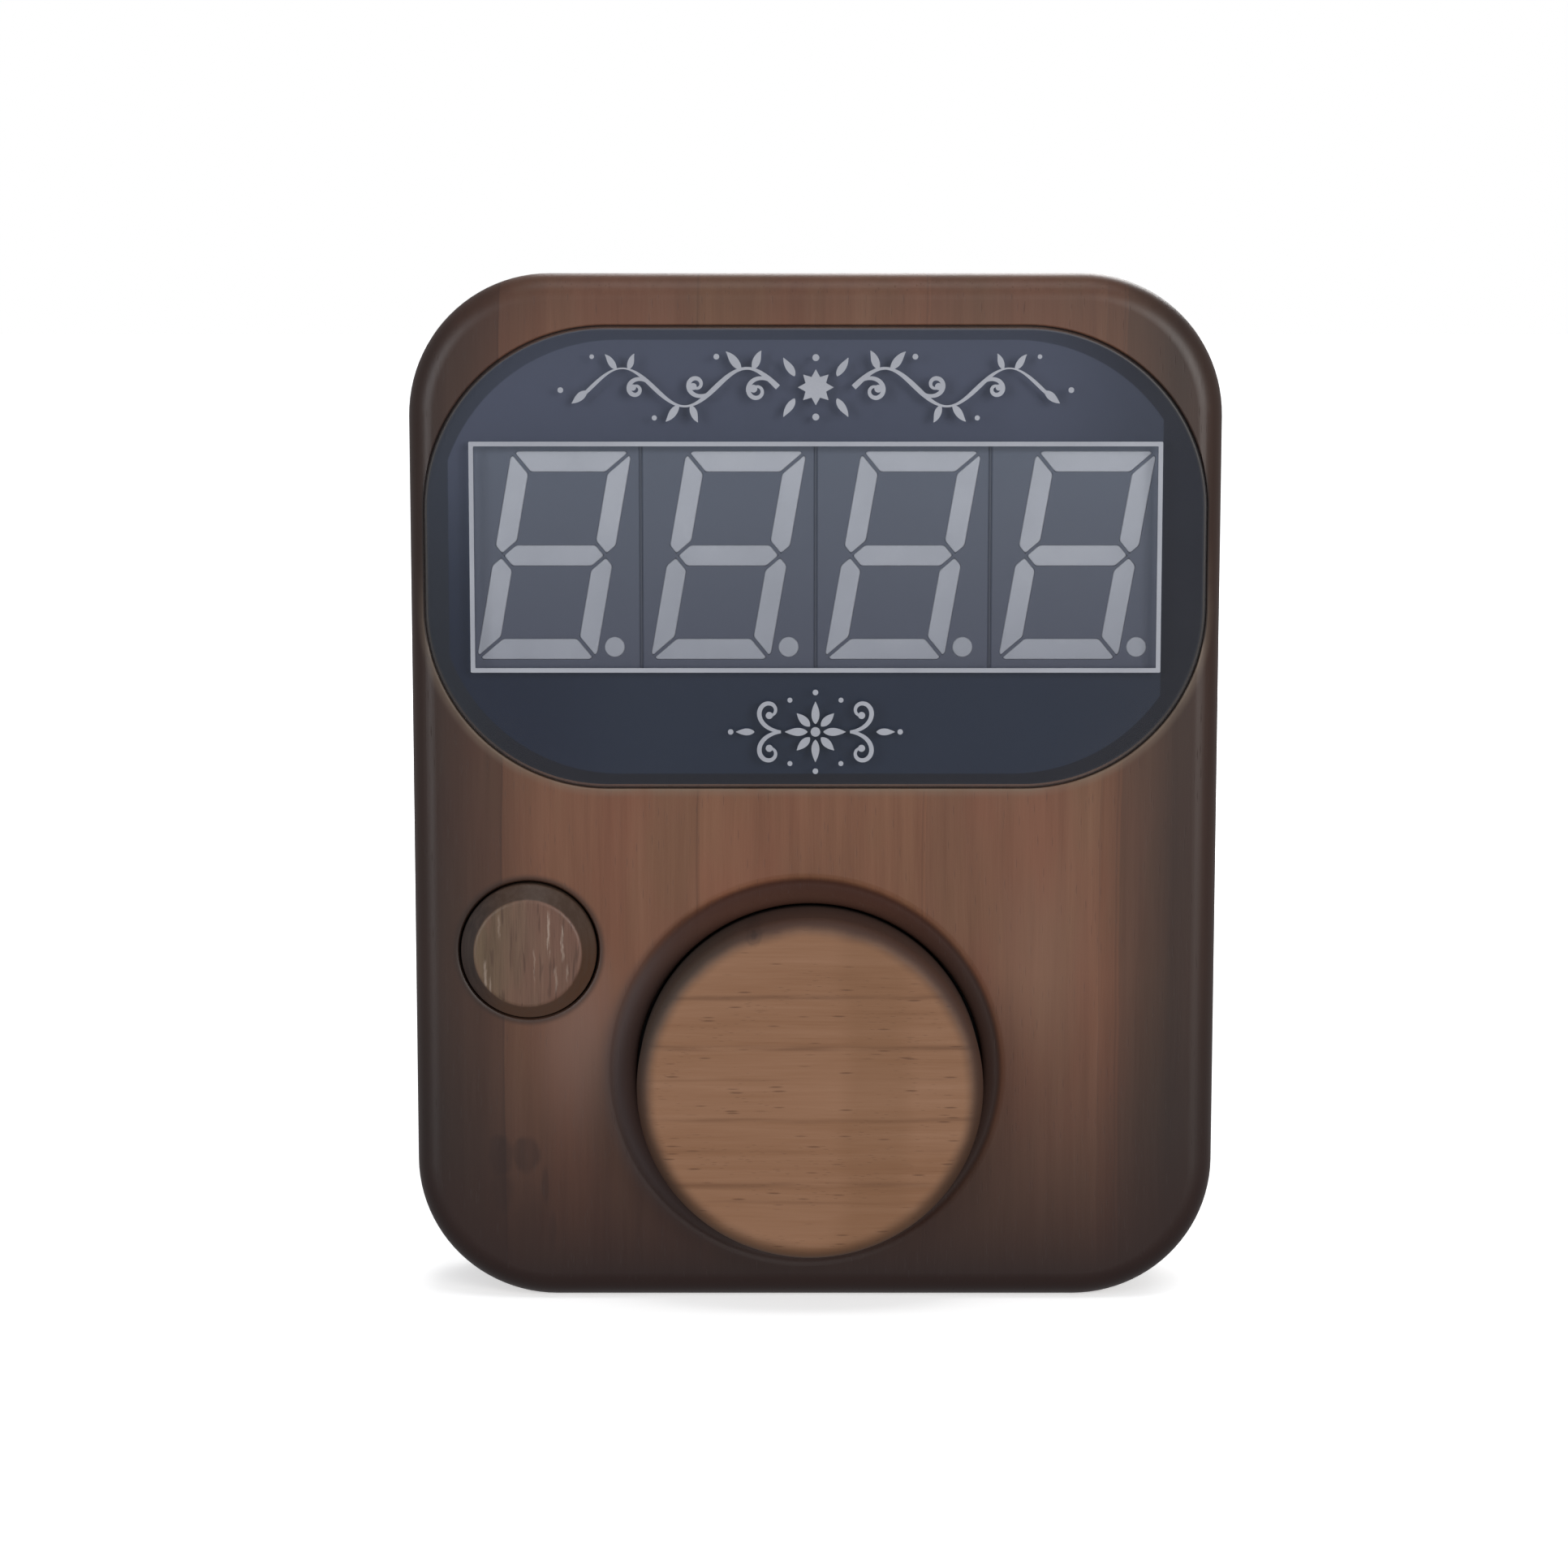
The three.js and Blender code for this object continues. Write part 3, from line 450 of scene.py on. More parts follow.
    # dished rim of the big bore: dark stain with painted shade on it, darker and redder at the top and the bottom,
    # greyer and paler at the left, painted paler towards the gap; softest towards the lower left
    r, dx, dz = radius_from(k, DISHX, DISHZ)
    lean = k.calc("MULTIPLY", k.calc("ADD", k.calc("MULTIPLY", dx, -0.8), k.calc("MULTIPLY", dz, -0.35)), 0.028)
    soft = k.calc("MAXIMUM", lean, 0.0)
    rim = k.span(r, k.calc("ADD", 42.6, k.calc("MULTIPLY", soft, -1.4)), k.calc("ADD", 43.9, k.calc("MULTIPLY", soft, 3.0)), 1.0, 0.0)
    rim_stain_and_shade = k.mix(k.span(dz, 16.0, 38.0), (0.034, 0.020, 0.017), (0.031, 0.0085, 0.0045))
    rim_stain_and_shade = k.mix(k.calc("MULTIPLY", k.span(dx, -12.0, -38.0), k.span(dz, 34.0, 8.0)), rim_stain_and_shade, (0.060, 0.040, 0.038))
    rim_stain_and_shade = k.mix(k.span(dz, -18.0, -40.0, 0.0, 0.6), rim_stain_and_shade, (0.030, 0.012, 0.008))
    rim_stain_and_shade = k.mix(k.span(r, 42.4, 38.6, 0.0, 0.45), rim_stain_and_shade, (0.085, 0.045, 0.034))
    col = k.mix(k.calc("MULTIPLY", rim, 0.92), col, rim_stain_and_shade)
    # the small bore's edge, darker: painted shade around the gap
    r2, _, _ = radius_from(k, RBX, RBZ)
    col = k.mix(k.span(r2, 15.9, 17.4, 0.72, 0.0), col, (0.020, 0.011, 0.008))
    k.colour(col)
    k.roughness(k.calc("ADD", 0.36, k.calc("ADD", k.calc("MULTIPLY", fibre, 0.14), k.calc("MULTIPLY", pore, 0.2))))
    h = k.calc("SUBTRACT", k.calc("ADD", k.calc("MULTIPLY", fibre, 0.6), k.calc("MULTIPLY", lines, 0.5)), k.calc("MULTIPLY", pore, 0.8))
    k.bump(h, 0.22, 0.00008)
    return k.m


def pale_wood():
    k = Look("pale_wood_look", (0.195, 0.095, 0.049), 0.5, Specular_IOR_Level=0.34)
    p = wavy(k, (0.0, 1.4, 1.4), (0.014, 0.03, 0.03))
    x, y, z = k.xyz()
    broad = k.noise(k.scaled(0.010, 0.05, 0.055, vec=p), detail=2.0)
    lines = k.noise(k.scaled(0.016, 0.50, 0.50, (3.1, 0, 7.7), vec=p), detail=4.0, rough=0.62)
    fibre = k.noise(k.scaled(0.09, 3.0, 3.0, vec=p), detail=3.0, rough=0.6)
    tone = k.calc("ADD", k.calc("MULTIPLY", broad, 0.40), k.calc("ADD", k.calc("MULTIPLY", lines, 0.42), k.calc("MULTIPLY", fibre, 0.18)))
    col = k.ramp(tone, [(0.28, (0.142, 0.062, 0.026)), (0.44, (0.184, 0.088, 0.043)), (0.57, (0.208, 0.105, 0.056)), (0.75, (0.240, 0.128, 0.074))])
    # darker growth bands across the face
    for at, wid, amt in ((-53.6, 1.0, 0.62), (-69.6, 0.9, 0.42), (-84.0, 1.2, 0.50), (-60.6, 0.5, 0.22), (-87.8, 0.7, 0.30), (-42.4, 1.0, 0.55), (-76.5, 0.5, 0.22)):
        zz = k.calc("ADD", z, k.calc("MULTIPLY", k.calc("SUBTRACT", k.noise(k.scaled(0.02, 0.0, 0.0, (at, 0, 0)), detail=2.0), 0.5), 2.2))
        b = k.span(k.calc("ABSOLUTE", k.calc("SUBTRACT", zz, at)), 0.1, wid, 1.0, 0.0)
        b = k.calc("MULTIPLY", b, k.span(k.noise(k.scaled(0.035, 0.0, 0.5, (at * 1.7, 0, 0)), detail=3.0), 0.36, 0.62))
        col = k.mix(k.calc("MULTIPLY", b, amt), col, (0.090, 0.036, 0.014))
    # a broad darker band a little right of the middle: a painted reflection
    reflection_band = k.calc("ABSOLUTE", k.calc("ADD", k.calc("SUBTRACT", x, 12.5), k.calc("MULTIPLY", k.calc("SUBTRACT", k.noise(k.scaled(0.02, 0.0, 0.045), detail=3.0), 0.5), 14.0)))
    col = k.mix(k.span(reflection_band, 4.0, 9.5, 0.30, 0.0), col, (0.130, 0.058, 0.022))
    # rays: dark flecks lying along the grain, thickest in a few rows
    rows = k.noise(k.scaled(0.0, 0.0, 0.26, (0.0, 0.0, 5.3)), detail=1.0)
    for at, wid, peak in ((-45.2, 2.6, 0.66), (-56.0, 2.0, 0.58), (-63.5, 2.0, 0.54), (-72.4, 1.8, 0.55)):
        near = k.span(k.calc("ABSOLUTE", k.calc("SUBTRACT", z, at)), wid * 0.4, wid, peak, 0.0)
        rows = k.calc("MAXIMUM", rows, near)
    v = k.node("ShaderNodeTexVoronoi")
    k.put(v.inputs["Vector"], k.scaled(0.13, 1.0, 1.0, vec=p))
    v.inputs["Scale"].default_value = 1.0
    keep = k.span(k.xyz(v.outputs["Color"])[0], k.span(rows, 0.38, 0.62, 0.86, 0.30), 1.0, 0.0, 1.0)
    fleck = k.calc("MULTIPLY", k.span(v.outputs["Distance"], 0.08, 0.27, 1.0, 0.0), k.span(keep, 0.02, 0.25))
    col = k.mix(k.calc("MULTIPLY", fleck, 0.62), col, (0.070, 0.027, 0.011))
    v2 = k.node("ShaderNodeTexVoronoi")
    k.put(v2.inputs["Vector"], k.scaled(0.34, 2.1, 2.1, (5.0, 0, 1.0), vec=p))
    v2.inputs["Scale"].default_value = 1.0
    tick = k.calc("MULTIPLY", k.span(v2.outputs["Distance"], 0.10, 0.28, 1.0, 0.0), k.span(k.xyz(v2.outputs["Color"])[1], 0.55, 0.72))
    col = k.mix(k.calc("MULTIPLY", tick, 0.34), col, (0.085, 0.036, 0.016))
    # dark stain left on the shoulder and the side, sanded away on the face, with painted shade on it: darkest at the
    # top, greyer at the left, lighter low down
    r, dx, dz = radius_from(k, CBX, CBZ)
    ragged = k.calc("MULTIPLY", k.calc("SUBTRACT", k.noise(k.scaled(0.09, 0.09, 0.09), detail=3.0), 0.5), 1.6)
    edge = k.span(k.calc("ADD", r, ragged), 33.4, 37.0)
    low = k.span(dz, -20.0, -34.0, 1.0, 0.66)
    warm = k.mix(k.span(dz, 22.0, -30.0), (0.035, 0.0145, 0.0095), (0.050, 0.022, 0.010))
    warm = k.mix(k.calc("MULTIPLY", k.span(dx, -6.0, -26.0), k.span(dz, -10.0, 14.0)), warm, (0.030, 0.0195, 0.0145))
    col = k.mix(k.calc("MULTIPLY", k.calc("MULTIPLY", edge, 0.94), low), col, warm)
    # a small knot on the shoulder, left of the top
    nx, nz = k.calc("DIVIDE", k.calc("SUBTRACT", x, -13.4), 1.9), k.calc("DIVIDE", k.calc("SUBTRACT", z, -28.6), 2.6)
    nr = k.calc("SQRT", k.calc("ADD", k.calc("MULTIPLY", nx, nx), k.calc("MULTIPLY", nz, nz)))
    nr = k.calc("ADD", nr, k.calc("MULTIPLY", k.calc("SUBTRACT", k.noise(k.scaled(0.5, 0.5, 0.5), detail=3.0), 0.5), 0.9))
    dot = k.calc("MULTIPLY", k.span(nr, 0.3, 1.2, 1.0, 0.0), k.span(k.calc("SINE", k.calc("MULTIPLY", nr, 9.0)), -0.8, 0.6, 0.45, 1.0))
    col = k.mix(k.calc("MULTIPLY", dot, 0.7), col, (0.020, 0.008, 0.005))
    k.colour(col)
    k.roughness(k.calc("ADD", k.calc("ADD", 0.44, k.calc("MULTIPLY", edge, 0.14)), k.calc("MULTIPLY", fibre, 0.16)))
    h = k.calc("SUBTRACT", k.calc("MULTIPLY", fibre, 0.6), k.calc("ADD", fleck, k.calc("MULTIPLY", tick, 0.6)))
    k.bump(h, 0.22, 0.00008)
    return k.m


def small_button_wood():
    k = Look("small_button_wood_look", (0.115, 0.06, 0.04), 0.48, Specular_IOR_Level=0.36)
    p = wavy(k, (0.9, 0.9, 0.0), (0.05, 0.05, 0.03))
    x, y, z = k.xyz()
    broad = k.noise(k.scaled(0.13, 0.13, 0.02, vec=p), detail=2.0)
    lines = k.noise(k.scaled(0.85, 0.85, 0.05, vec=p), detail=4.0, rough=0.6)
    fibre = k.noise(k.scaled(3.4, 3.4, 0.13, vec=p), detail=3.0, rough=0.6)
    tone = k.calc("ADD", k.calc("MULTIPLY", broad, 0.30), k.calc("ADD", k.calc("MULTIPLY", lines, 0.48), k.calc("MULTIPLY", fibre, 0.22)))
    col = k.ramp(tone, [(0.32, (0.068, 0.035, 0.021)), (0.46, (0.098, 0.054, 0.035)), (0.58, (0.122, 0.069, 0.045)), (0.74, (0.165, 0.103, 0.071))])
    # olive on the left, redder on the right
    r, dx, dz = radius_from(k, RBX, RBZ)
    col = k.mix(1.0, col, k.ramp(k.span(dx, -10.0, 10.0, kind="LINEAR"), [(0.0, (0.90, 1.04, 0.92)), (0.5, (1.0, 1.0, 1.0)), (1.0, (1.06, 0.97, 1.0))]), "MULTIPLY")
    warm = k.noise(k.scaled(0.22, 0.22, 0.06, (8.0, 2.0, 1.0)), detail=2.0)
    col = k.mix(k.span(warm, 0.42, 0.62, 0.0, 0.32), col, (0.120, 0.052, 0.036))
    d = k.span(k.noise(k.scaled(1.3, 1.3, 0.12, (9.3, 0.0, 2.4), vec=p), detail=1.0), 0.60, 0.70)
    col = k.mix(k.calc("MULTIPLY", d, 0.50), col, (0.042, 0.019, 0.012))
    # open streaks where the fibres stand pale
    frayed = k.span(k.noise(k.scaled(2.6, 2.6, 0.22, vec=p), detail=2.0), 0.34, 0.56)
    streak = None
    for sx, z0, z1, w, amt in ((4.6, -0.5, 9.4, 0.42, 1.0), (7.6, -1.5, 6.2, 0.45, 0.9), (-9.4, -8.0, -1.5, 0.5, 0.75), (-6.2, 3.5, 8.5, 0.35, 0.5),
                               (6.2, -8.5, -3.0, 0.5, 0.55), (1.4, -6.0, 1.0, 0.28, 0.4), (8.8, -6.0, -2.5, 0.4, 0.6), (-8.2, -9.0, -5.0, 0.4, 0.6)):
        m = k.span(k.calc("ABSOLUTE", k.calc("SUBTRACT", k.calc("ADD", dx, k.calc("MULTIPLY", k.calc("SUBTRACT", k.noise(k.scaled(0.0, 0.0, 0.35, (sx, 0, 0))), 0.5), 1.2)), sx)), 0.05, w, 1.0, 0.0)
        m = k.calc("MULTIPLY", m, k.calc("MULTIPLY", k.span(dz, z0 - 0.8, z0 + 1.0), k.span(dz, z1 - 1.2, z1 + 0.6, 1.0, 0.0)))
        m = k.calc("MULTIPLY", m, amt)
        streak = m if streak is None else k.calc("MAXIMUM", streak, m)
    streak = k.calc("MULTIPLY", streak, frayed)
    col = k.mix(k.calc("MULTIPLY", streak, 0.70), col, (0.30, 0.235, 0.19))
    # the bevel ring, stained dark, with painted shade: darker at the top, greyer at the left
    bevel = k.span(r, 11.75, 12.15)
    ring = k.mix(k.span(dz, -10.0, 10.0), (0.082, 0.042, 0.025), (0.041, 0.023, 0.0145))
    ring = k.mix(k.span(dx, -4.0, -13.0, 0.0, 0.75), ring, (0.017, 0.0135, 0.0135))
    ring = k.mix(k.span(lines, 0.35, 0.7, 0.0, 0.30), ring, (0.078, 0.052, 0.040))
    col = k.mix(bevel, col, ring)
    k.colour(col)
    k.roughness(k.calc("ADD", 0.38, k.calc("MULTIPLY", fibre, 0.16)))
    k.bump(k.calc("ADD", k.calc("ADD", k.calc("MULTIPLY", fibre, 0.5), k.calc("MULTIPLY", lines, 0.6)), k.calc("MULTIPLY", streak, 0.5)), 0.3, 0.0001)
    return k.m


# painted reflection: the plate and the film behind it lighter towards the head of the panel
PLATE_REFLECTION_TONES = [(0.0, (0.006, 0.008, 0.013)), (0.45, (0.010, 0.013, 0.020)), (0.86, (0.022, 0.027, 0.038)), (1.0, (0.024, 0.029, 0.040))]
FILM_REFLECTION_TONES = [(0.0, (0.021, 0.032, 0.062)), (0.25, (0.023, 0.034, 0.065)), (0.45, (0.042, 0.055, 0.094)), (0.66, (0.071, 0.086, 0.138)),
              (0.86, (0.092, 0.106, 0.168)), (1.0, (0.094, 0.110, 0.170))]


def panel_depth(k, wander=0.10):
    """0 at the foot of the panel and 1 at its head, wandering a little sideways."""
    n = k.noise(k.scaled(0.010, 0.0, 0.018), detail=2.0)
    z = k.xyz()[2]
    up = k.span(z, PANEL_Z - 50.2, PANEL_Z + 50.2, kind="LINEAR")
    return k.calc("ADD", up, k.calc("MULTIPLY", k.calc("SUBTRACT", n, 0.5), wander * 2), clamp=True)


def panel_border(k):
    """1 on the dark printed border, 0 inside it. The clear field sits a little left of the plate."""
    d = round_rect_distance(k, PANEL_W - 2 * BAND, PANEL_H - 2 * BAND, FIELD_R, PANEL_Z)
    x = k.xyz()[0]
    d = k.calc("MAXIMUM", d, k.calc("MAXIMUM", k.calc("SUBTRACT", x, FIELD_X1), k.calc("SUBTRACT", FIELD_X0, x)))
    return k.span(d, -0.16, 0.16)


def smoked_panel():
    k = Look("smoked_panel_look", (0.02, 0.025, 0.035), 0.09, IOR=2.25, Alpha=0.2)
    # the dark printed border over a painted reflection, lighter towards the head
    col = k.mix(k.calc("MULTIPLY", panel_border(k), 0.5), k.ramp(panel_depth(k), PLATE_REFLECTION_TONES), (0.006, 0.006, 0.007))
    k.colour(col)
    smear = k.noise(k.scaled(0.02, 0.02, 0.05), detail=4.0, rough=0.6)
    d = round_rect_distance(k, PANEL_W, PANEL_H, PANEL_R, PANEL_Z)
    k.roughness(k.calc("ADD", k.span(smear, 0.35, 0.75, 0.07, 0.15), k.span(d, -0.8, -0.35, 0.0, 0.40)))
    k.bump(k.noise(k.scaled(0.012, 0.012, 0.012), detail=1.0), 0.05, 0.0004)
    return k.m


def panel_film():
    k = Look("panel_film_look", (0.05, 0.06, 0.08), 0.5, Specular_IOR_Level=0.2)
    x, y, z = k.xyz()
    # painted reflection: lighter towards the head of the panel, darker to the right and at the lower left
    col = k.ramp(panel_depth(k), FILM_REFLECTION_TONES)
    col = k.mix(k.span(x, 46.0, 76.0, 0.0, 0.62), col, (0.030, 0.038, 0.062))
    col = k.mix(k.calc("MULTIPLY", k.span(x, -36.0, -66.0, 0.0, 0.75), k.span(z, PANEL_Z + 26.0, PANEL_Z - 30.0)), col, (0.010, 0.017, 0.045))
    # the printed border, with painted reflection: lighter towards the head and at the left, darker to the right
    edge = k.mix(k.span(z, PANEL_Z - 30.0, PANEL_Z + 44.0), (0.011, 0.011, 0.020), (0.050, 0.061, 0.100))
    edge = k.mix(k.span(x, -60.0, -82.0, 0.0, 0.5), edge, (0.022, 0.031, 0.046))
    edge = k.mix(k.span(x, 40.0, 76.0, 0.0, 0.85), edge, (0.010, 0.011, 0.021))
    col = k.mix(k.calc("MULTIPLY", panel_border(k), 0.96), col, edge)
    k.colour(col)
    k.roughness(k.span(k.noise(k.scaled(0.06, 0.06, 0.06), detail=3.0), 0.3, 0.7, 0.45, 0.6))
    return k.m


def print_ink():
    k = Look("print_ink_look", (0.40, 0.41, 0.44), 0.5)
    n = k.noise(k.scaled(0.05, 0.05, 0.05), detail=3.0)
    f = k.noise(k.scaled(3.0, 3.0, 3.0), detail=2.0)
    col = k.ramp(k.calc("ADD", k.calc("MULTIPLY", n, 0.7), k.calc("MULTIPLY", f, 0.3)),
                 [(0.3, (0.238, 0.248, 0.282)), (0.7, (0.302, 0.315, 0.352))])
    k.colour(col)
    k.bump(f, 0.1, 0.00002)
    return k.m


def segment_lens():
    k = Look("segment_lens_look", (0.66, 0.67, 0.69), 0.3, IOR=1.5)
    n = k.noise(k.scaled(0.06, 0.06, 0.05), detail=2.0)
    f = k.noise(k.scaled(1.4, 1.4, 1.4), detail=3.0)
    col = k.ramp(k.calc("ADD", k.calc("MULTIPLY", n, 0.75), k.calc("MULTIPLY", f, 0.25)),
                 [(0.32, (0.62, 0.655, 0.73)), (0.55, (0.68, 0.715, 0.80)), (0.75, (0.74, 0.775, 0.85))])
    # painted reflection: the segments lighter towards the top, darker low down
    z = k.xyz()[2]
    col = k.mix(1.0, col, k.ramp(k.span(z, 29.0, 76.0, kind="LINEAR"), [(0.0, (0.74, 0.74, 0.76)), (1.0, (1.0, 1.0, 1.0))]), "MULTIPLY")
    k.colour(col)
    k.bump(f, 0.06, 0.00003)
    return k.m


def module_face():
    k = Look("module_face_look", (0.05, 0.055, 0.066), 0.42)
    # painted reflection: the faces lighter towards the head of the panel
    col = k.ramp(panel_depth(k), [(0.25, (0.100, 0.112, 0.165)), (0.55, (0.132, 0.152, 0.208)), (0.8, (0.152, 0.180, 0.245))])
    g = k.noise(k.scaled(2.4, 2.4, 2.4), detail=2.0)
    col = k.mix(k.span(g, 0.35, 0.65, 0.0, 0.05), col, (0.20, 0.22, 0.26))
    # painted shade: a thin dark line where two modules butt
    x, _, z = k.xyz()
    m = k.calc("ABSOLUTE", k.calc("SUBTRACT", k.calc("FRACT", k.calc("DIVIDE", k.calc("ADD", x, 191.0), PITCH)), 0.0))
    edge = k.calc("MINIMUM", m, k.calc("SUBTRACT", 1.0, m))
    col = k.mix(k.span(edge, 0.003, 0.009, 0.35, 0.0), col, (0.030, 0.032, 0.040))
    k.colour(col)
    k.bump(g, 0.08, 0.00003)
    return k.m


def moulded(name, base, rough=0.5, grain=1.6, strength=0.10, mottled=0.12):
    k = Look(name, base, rough)
    n = k.noise(k.scaled(0.06, 0.06, 0.06), detail=3.0)
    g = k.noise(k.scaled(grain, grain, grain), detail=2.0)
    lo, hi = tuple(c * (1 - mottled) for c in base), tuple(min(1.0, c * (1 + mottled)) for c in base)
    k.colour(k.ramp(n, [(0.3, lo), (0.7, hi)]))
    k.roughness(k.span(n, 0.3, 0.7, rough - 0.05, rough + 0.08))
    k.bump(g, strength, 0.00005)
    return k.m


def brushed(name, base, rough=0.35, along=(0.12, 3.0, 3.0)):
    k = Look(name, base, rough, 1.0)
    g = k.noise(k.scaled(*along), detail=3.0)
    n = k.noise(k.scaled(0.15, 0.15, 0.15), detail=3.0)
    lo, hi = tuple(c * 0.82 for c in base), tuple(min(1.0, c * 1.1) for c in base)
    k.colour(k.ramp(k.calc("ADD", k.calc("MULTIPLY", g, 0.5), k.calc("MULTIPLY", n, 0.5)), [(0.35, lo), (0.65, hi)]))
    k.roughness(k.span(n, 0.3, 0.7, rough - 0.06, rough + 0.12))
    k.bump(g, 0.08, 0.00003)
    return k.m


def circuit_board():
    k = Look("circuit_board_look", (0.012, 0.085, 0.035), 0.38, Coat_Weight=0.4, Coat_Roughness=0.12)
    x, y, z = k.xyz()
    g = k.noise(k.scaled(0.12, 0.12, 0.12), detail=3.0)
    col = k.ramp(g, [(0.3, (0.010, 0.070, 0.028)), (0.7, (0.016, 0.105, 0.045))])
    # copper tracks under the mask: lighter strips on a square grid with gaps
    fx = k.calc("ABSOLUTE", k.calc("SUBTRACT", k.calc("FRACT", k.calc("DIVIDE", x, 2.54)), 0.5))
    on = k.span(k.noise(k.scaled(0.39, 0.0, 0.06), detail=0.0), 0.50, 0.52)
    track = k.calc("MULTIPLY", k.span(fx, 0.12, 0.16, 1.0, 0.0), on)
    col = k.mix(k.calc("MULTIPLY", track, 0.45), col, (0.045, 0.200, 0.080))
    k.colour(col)
    k.bump(track, 0.15, 0.00003)
    return k.m


def fibreboard():
    k = Look("fibreboard_look", (0.105, 0.058, 0.036), 0.72)
    f = k.noise(k.scaled(0.9, 0.9, 0.9), detail=5.0, rough=0.7)
    b = k.noise(k.scaled(0.05, 0.05, 0.05), detail=3.0)
    v = k.node("ShaderNodeTexVoronoi")
    k.put(v.inputs["Vector"], k.scaled(0.55, 0.55, 1.4))
    v.inputs["Scale"].default_value = 1.0
    chip = k.span(v.outputs["Distance"], 0.15, 0.5, 1.0, 0.0)
    tone = k.calc("ADD", k.calc("MULTIPLY", f, 0.55), k.calc("ADD", k.calc("MULTIPLY", b, 0.30), k.calc("MULTIPLY", chip, 0.15)))
    col = k.ramp(tone, [(0.30, (0.060, 0.031, 0.019)), (0.48, (0.098, 0.053, 0.033)), (0.62, (0.130, 0.074, 0.047)), (0.78, (0.175, 0.106, 0.070))])
    k.colour(col)
    k.roughness(k.span(f, 0.3, 0.7, 0.62, 0.82))
    k.bump(k.calc("ADD", f, k.calc("MULTIPLY", chip, 0.3)), 0.35, 0.0001)
    return k.m


def cell_jacket():
    """Steel cells in a printed sleeve: two plain bands of colour, nothing written."""
    k = Look("cell_jacket_look", (0.3, 0.3, 0.32), 0.32, 0.7)
    x, y, z = k.xyz()
    col = k.ramp(k.span(z, 26.0, 80.0, kind="LINEAR"),
                 [(0.0, (0.50, 0.50, 0.51)), (0.035, (0.052, 0.060, 0.072)), (0.30, (0.42, 0.30, 0.12)), (0.72, (0.052, 0.060, 0.072)),
                  (0.965, (0.50, 0.50, 0.51))], "CONSTANT")
    n = k.noise(k.scaled(0.3, 0.3, 0.3), detail=3.0)
    col = k.mix(k.span(n, 0.4, 0.8, 0.0, 0.12), col, (0.6, 0.6, 0.6))
    k.colour(col)
    k.roughness(k.span(n, 0.3, 0.7, 0.26, 0.4))
    return k.m


MATS = {
    "stained_wood": stained_wood(), "pale_wood": pale_wood(), "small_button_wood": small_button_wood(),
    "smoked_panel": smoked_panel(), "module_face": module_face(), "segment_lens": segment_lens(),
    "panel_print": print_ink(), "circuit_board": circuit_board(),
    "black_plastic": moulded("black_plastic_look", (0.012, 0.012, 0.014), 0.46),
    "white_plastic": moulded("white_plastic_look", (0.62, 0.60, 0.54), 0.4, mottled=0.05),
    "red_plastic": moulded("red_plastic_look", (0.28, 0.03, 0.02), 0.42),
    "zinc_steel": brushed("zinc_steel_look", (0.56, 0.57, 0.58), 0.36),
    "spring_steel": brushed("spring_steel_look", (0.50, 0.50, 0.50), 0.28),
    "fibreboard": fibreboard(), "cell_jacket": cell_jacket(),
    "wire_sheath": moulded("wire_sheath_look", (0.020, 0.020, 0.022), 0.5),
}
FILM = panel_film()
RED_SHEATH = moulded("red_sheath_look", (0.26, 0.02, 0.015), 0.45)
CHIP = moulded("chip_look", (0.014, 0.014, 0.016), 0.6, grain=4.0)

for name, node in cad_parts.items():
    for s in node.material_slots:
        if s.material and s.material.name in MATS:
            s.material = MATS[s.material.name]
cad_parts["battery_lead"].material_slots[0].material = RED_SHEATH
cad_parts["controller_chip"].material_slots[0].material = CHIP
for name, width in (("power_switch", 0.25), ("power_slider", 0.25), ("battery_tray", 0.5), ("switch_bridge", 0.3),
                    ("count_switch", 0.25), ("reset_switch", 0.25), ("controller_chip", 0.15), ("button_carrier", 0.3),
                    ("reset_flange", 0.3), ("contact_upper", 0.1), ("contact_lower", 0.1), ("count_lever", 0.1)):
    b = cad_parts[name].modifiers.new("edges", "BEVEL")
    b.width, b.segments, b.limit_method, b.angle_limit = width * MM, 2, "ANGLE", math.radians(40)

# ------------------------------------------------------------------ the wooden block
rings = [rr_ring(BODY_W - 1, BODY_H - 1, CORNER_R - 0.5, BODY_BACK_Y),
         rr_ring(BODY_W - 0.25, BODY_H - 0.25, CORNER_R - 0.12, BODY_BACK_Y - 0.15),
         rr_ring(BODY_W, BODY_H, CORNER_R, BODY_BACK_Y - 0.5)]
for i in range(15):
    a = math.pi / 2 * i / 14
    c = EDGE_R * (1 - math.cos(a))
    rings.append(rr_ring(BODY_W - 2 * c, BODY_H - 2 * c, CORNER_R - c, FRONT_Y + EDGE_R - EDGE_R * math.sin(a)))
block = loft("body_block", rings)
carve(block, [loft("cavity", [rr_ring(159, 204, 20, WALL_Y, 10), rr_ring(159, 204, 20, 1, 10)])])
carve(block, [box(sx * 70 - 4.5, sx * 70 + 4.5, WALL_Y - 1, -27.7, z - 4.5, z + 4.5) for sx in (-1, 1) for z in (16, 89.5)]
      + [box(-74, -53, WALL_Y - 1, -16.3, -14.5, -4.5)], "UNION")


def disc(r, y0, y1, cx, cz, seg=24):
    return lathe("disc", [(0, y0), (r, y0), (r, y1), (0, y1)], cx, cz, seg)


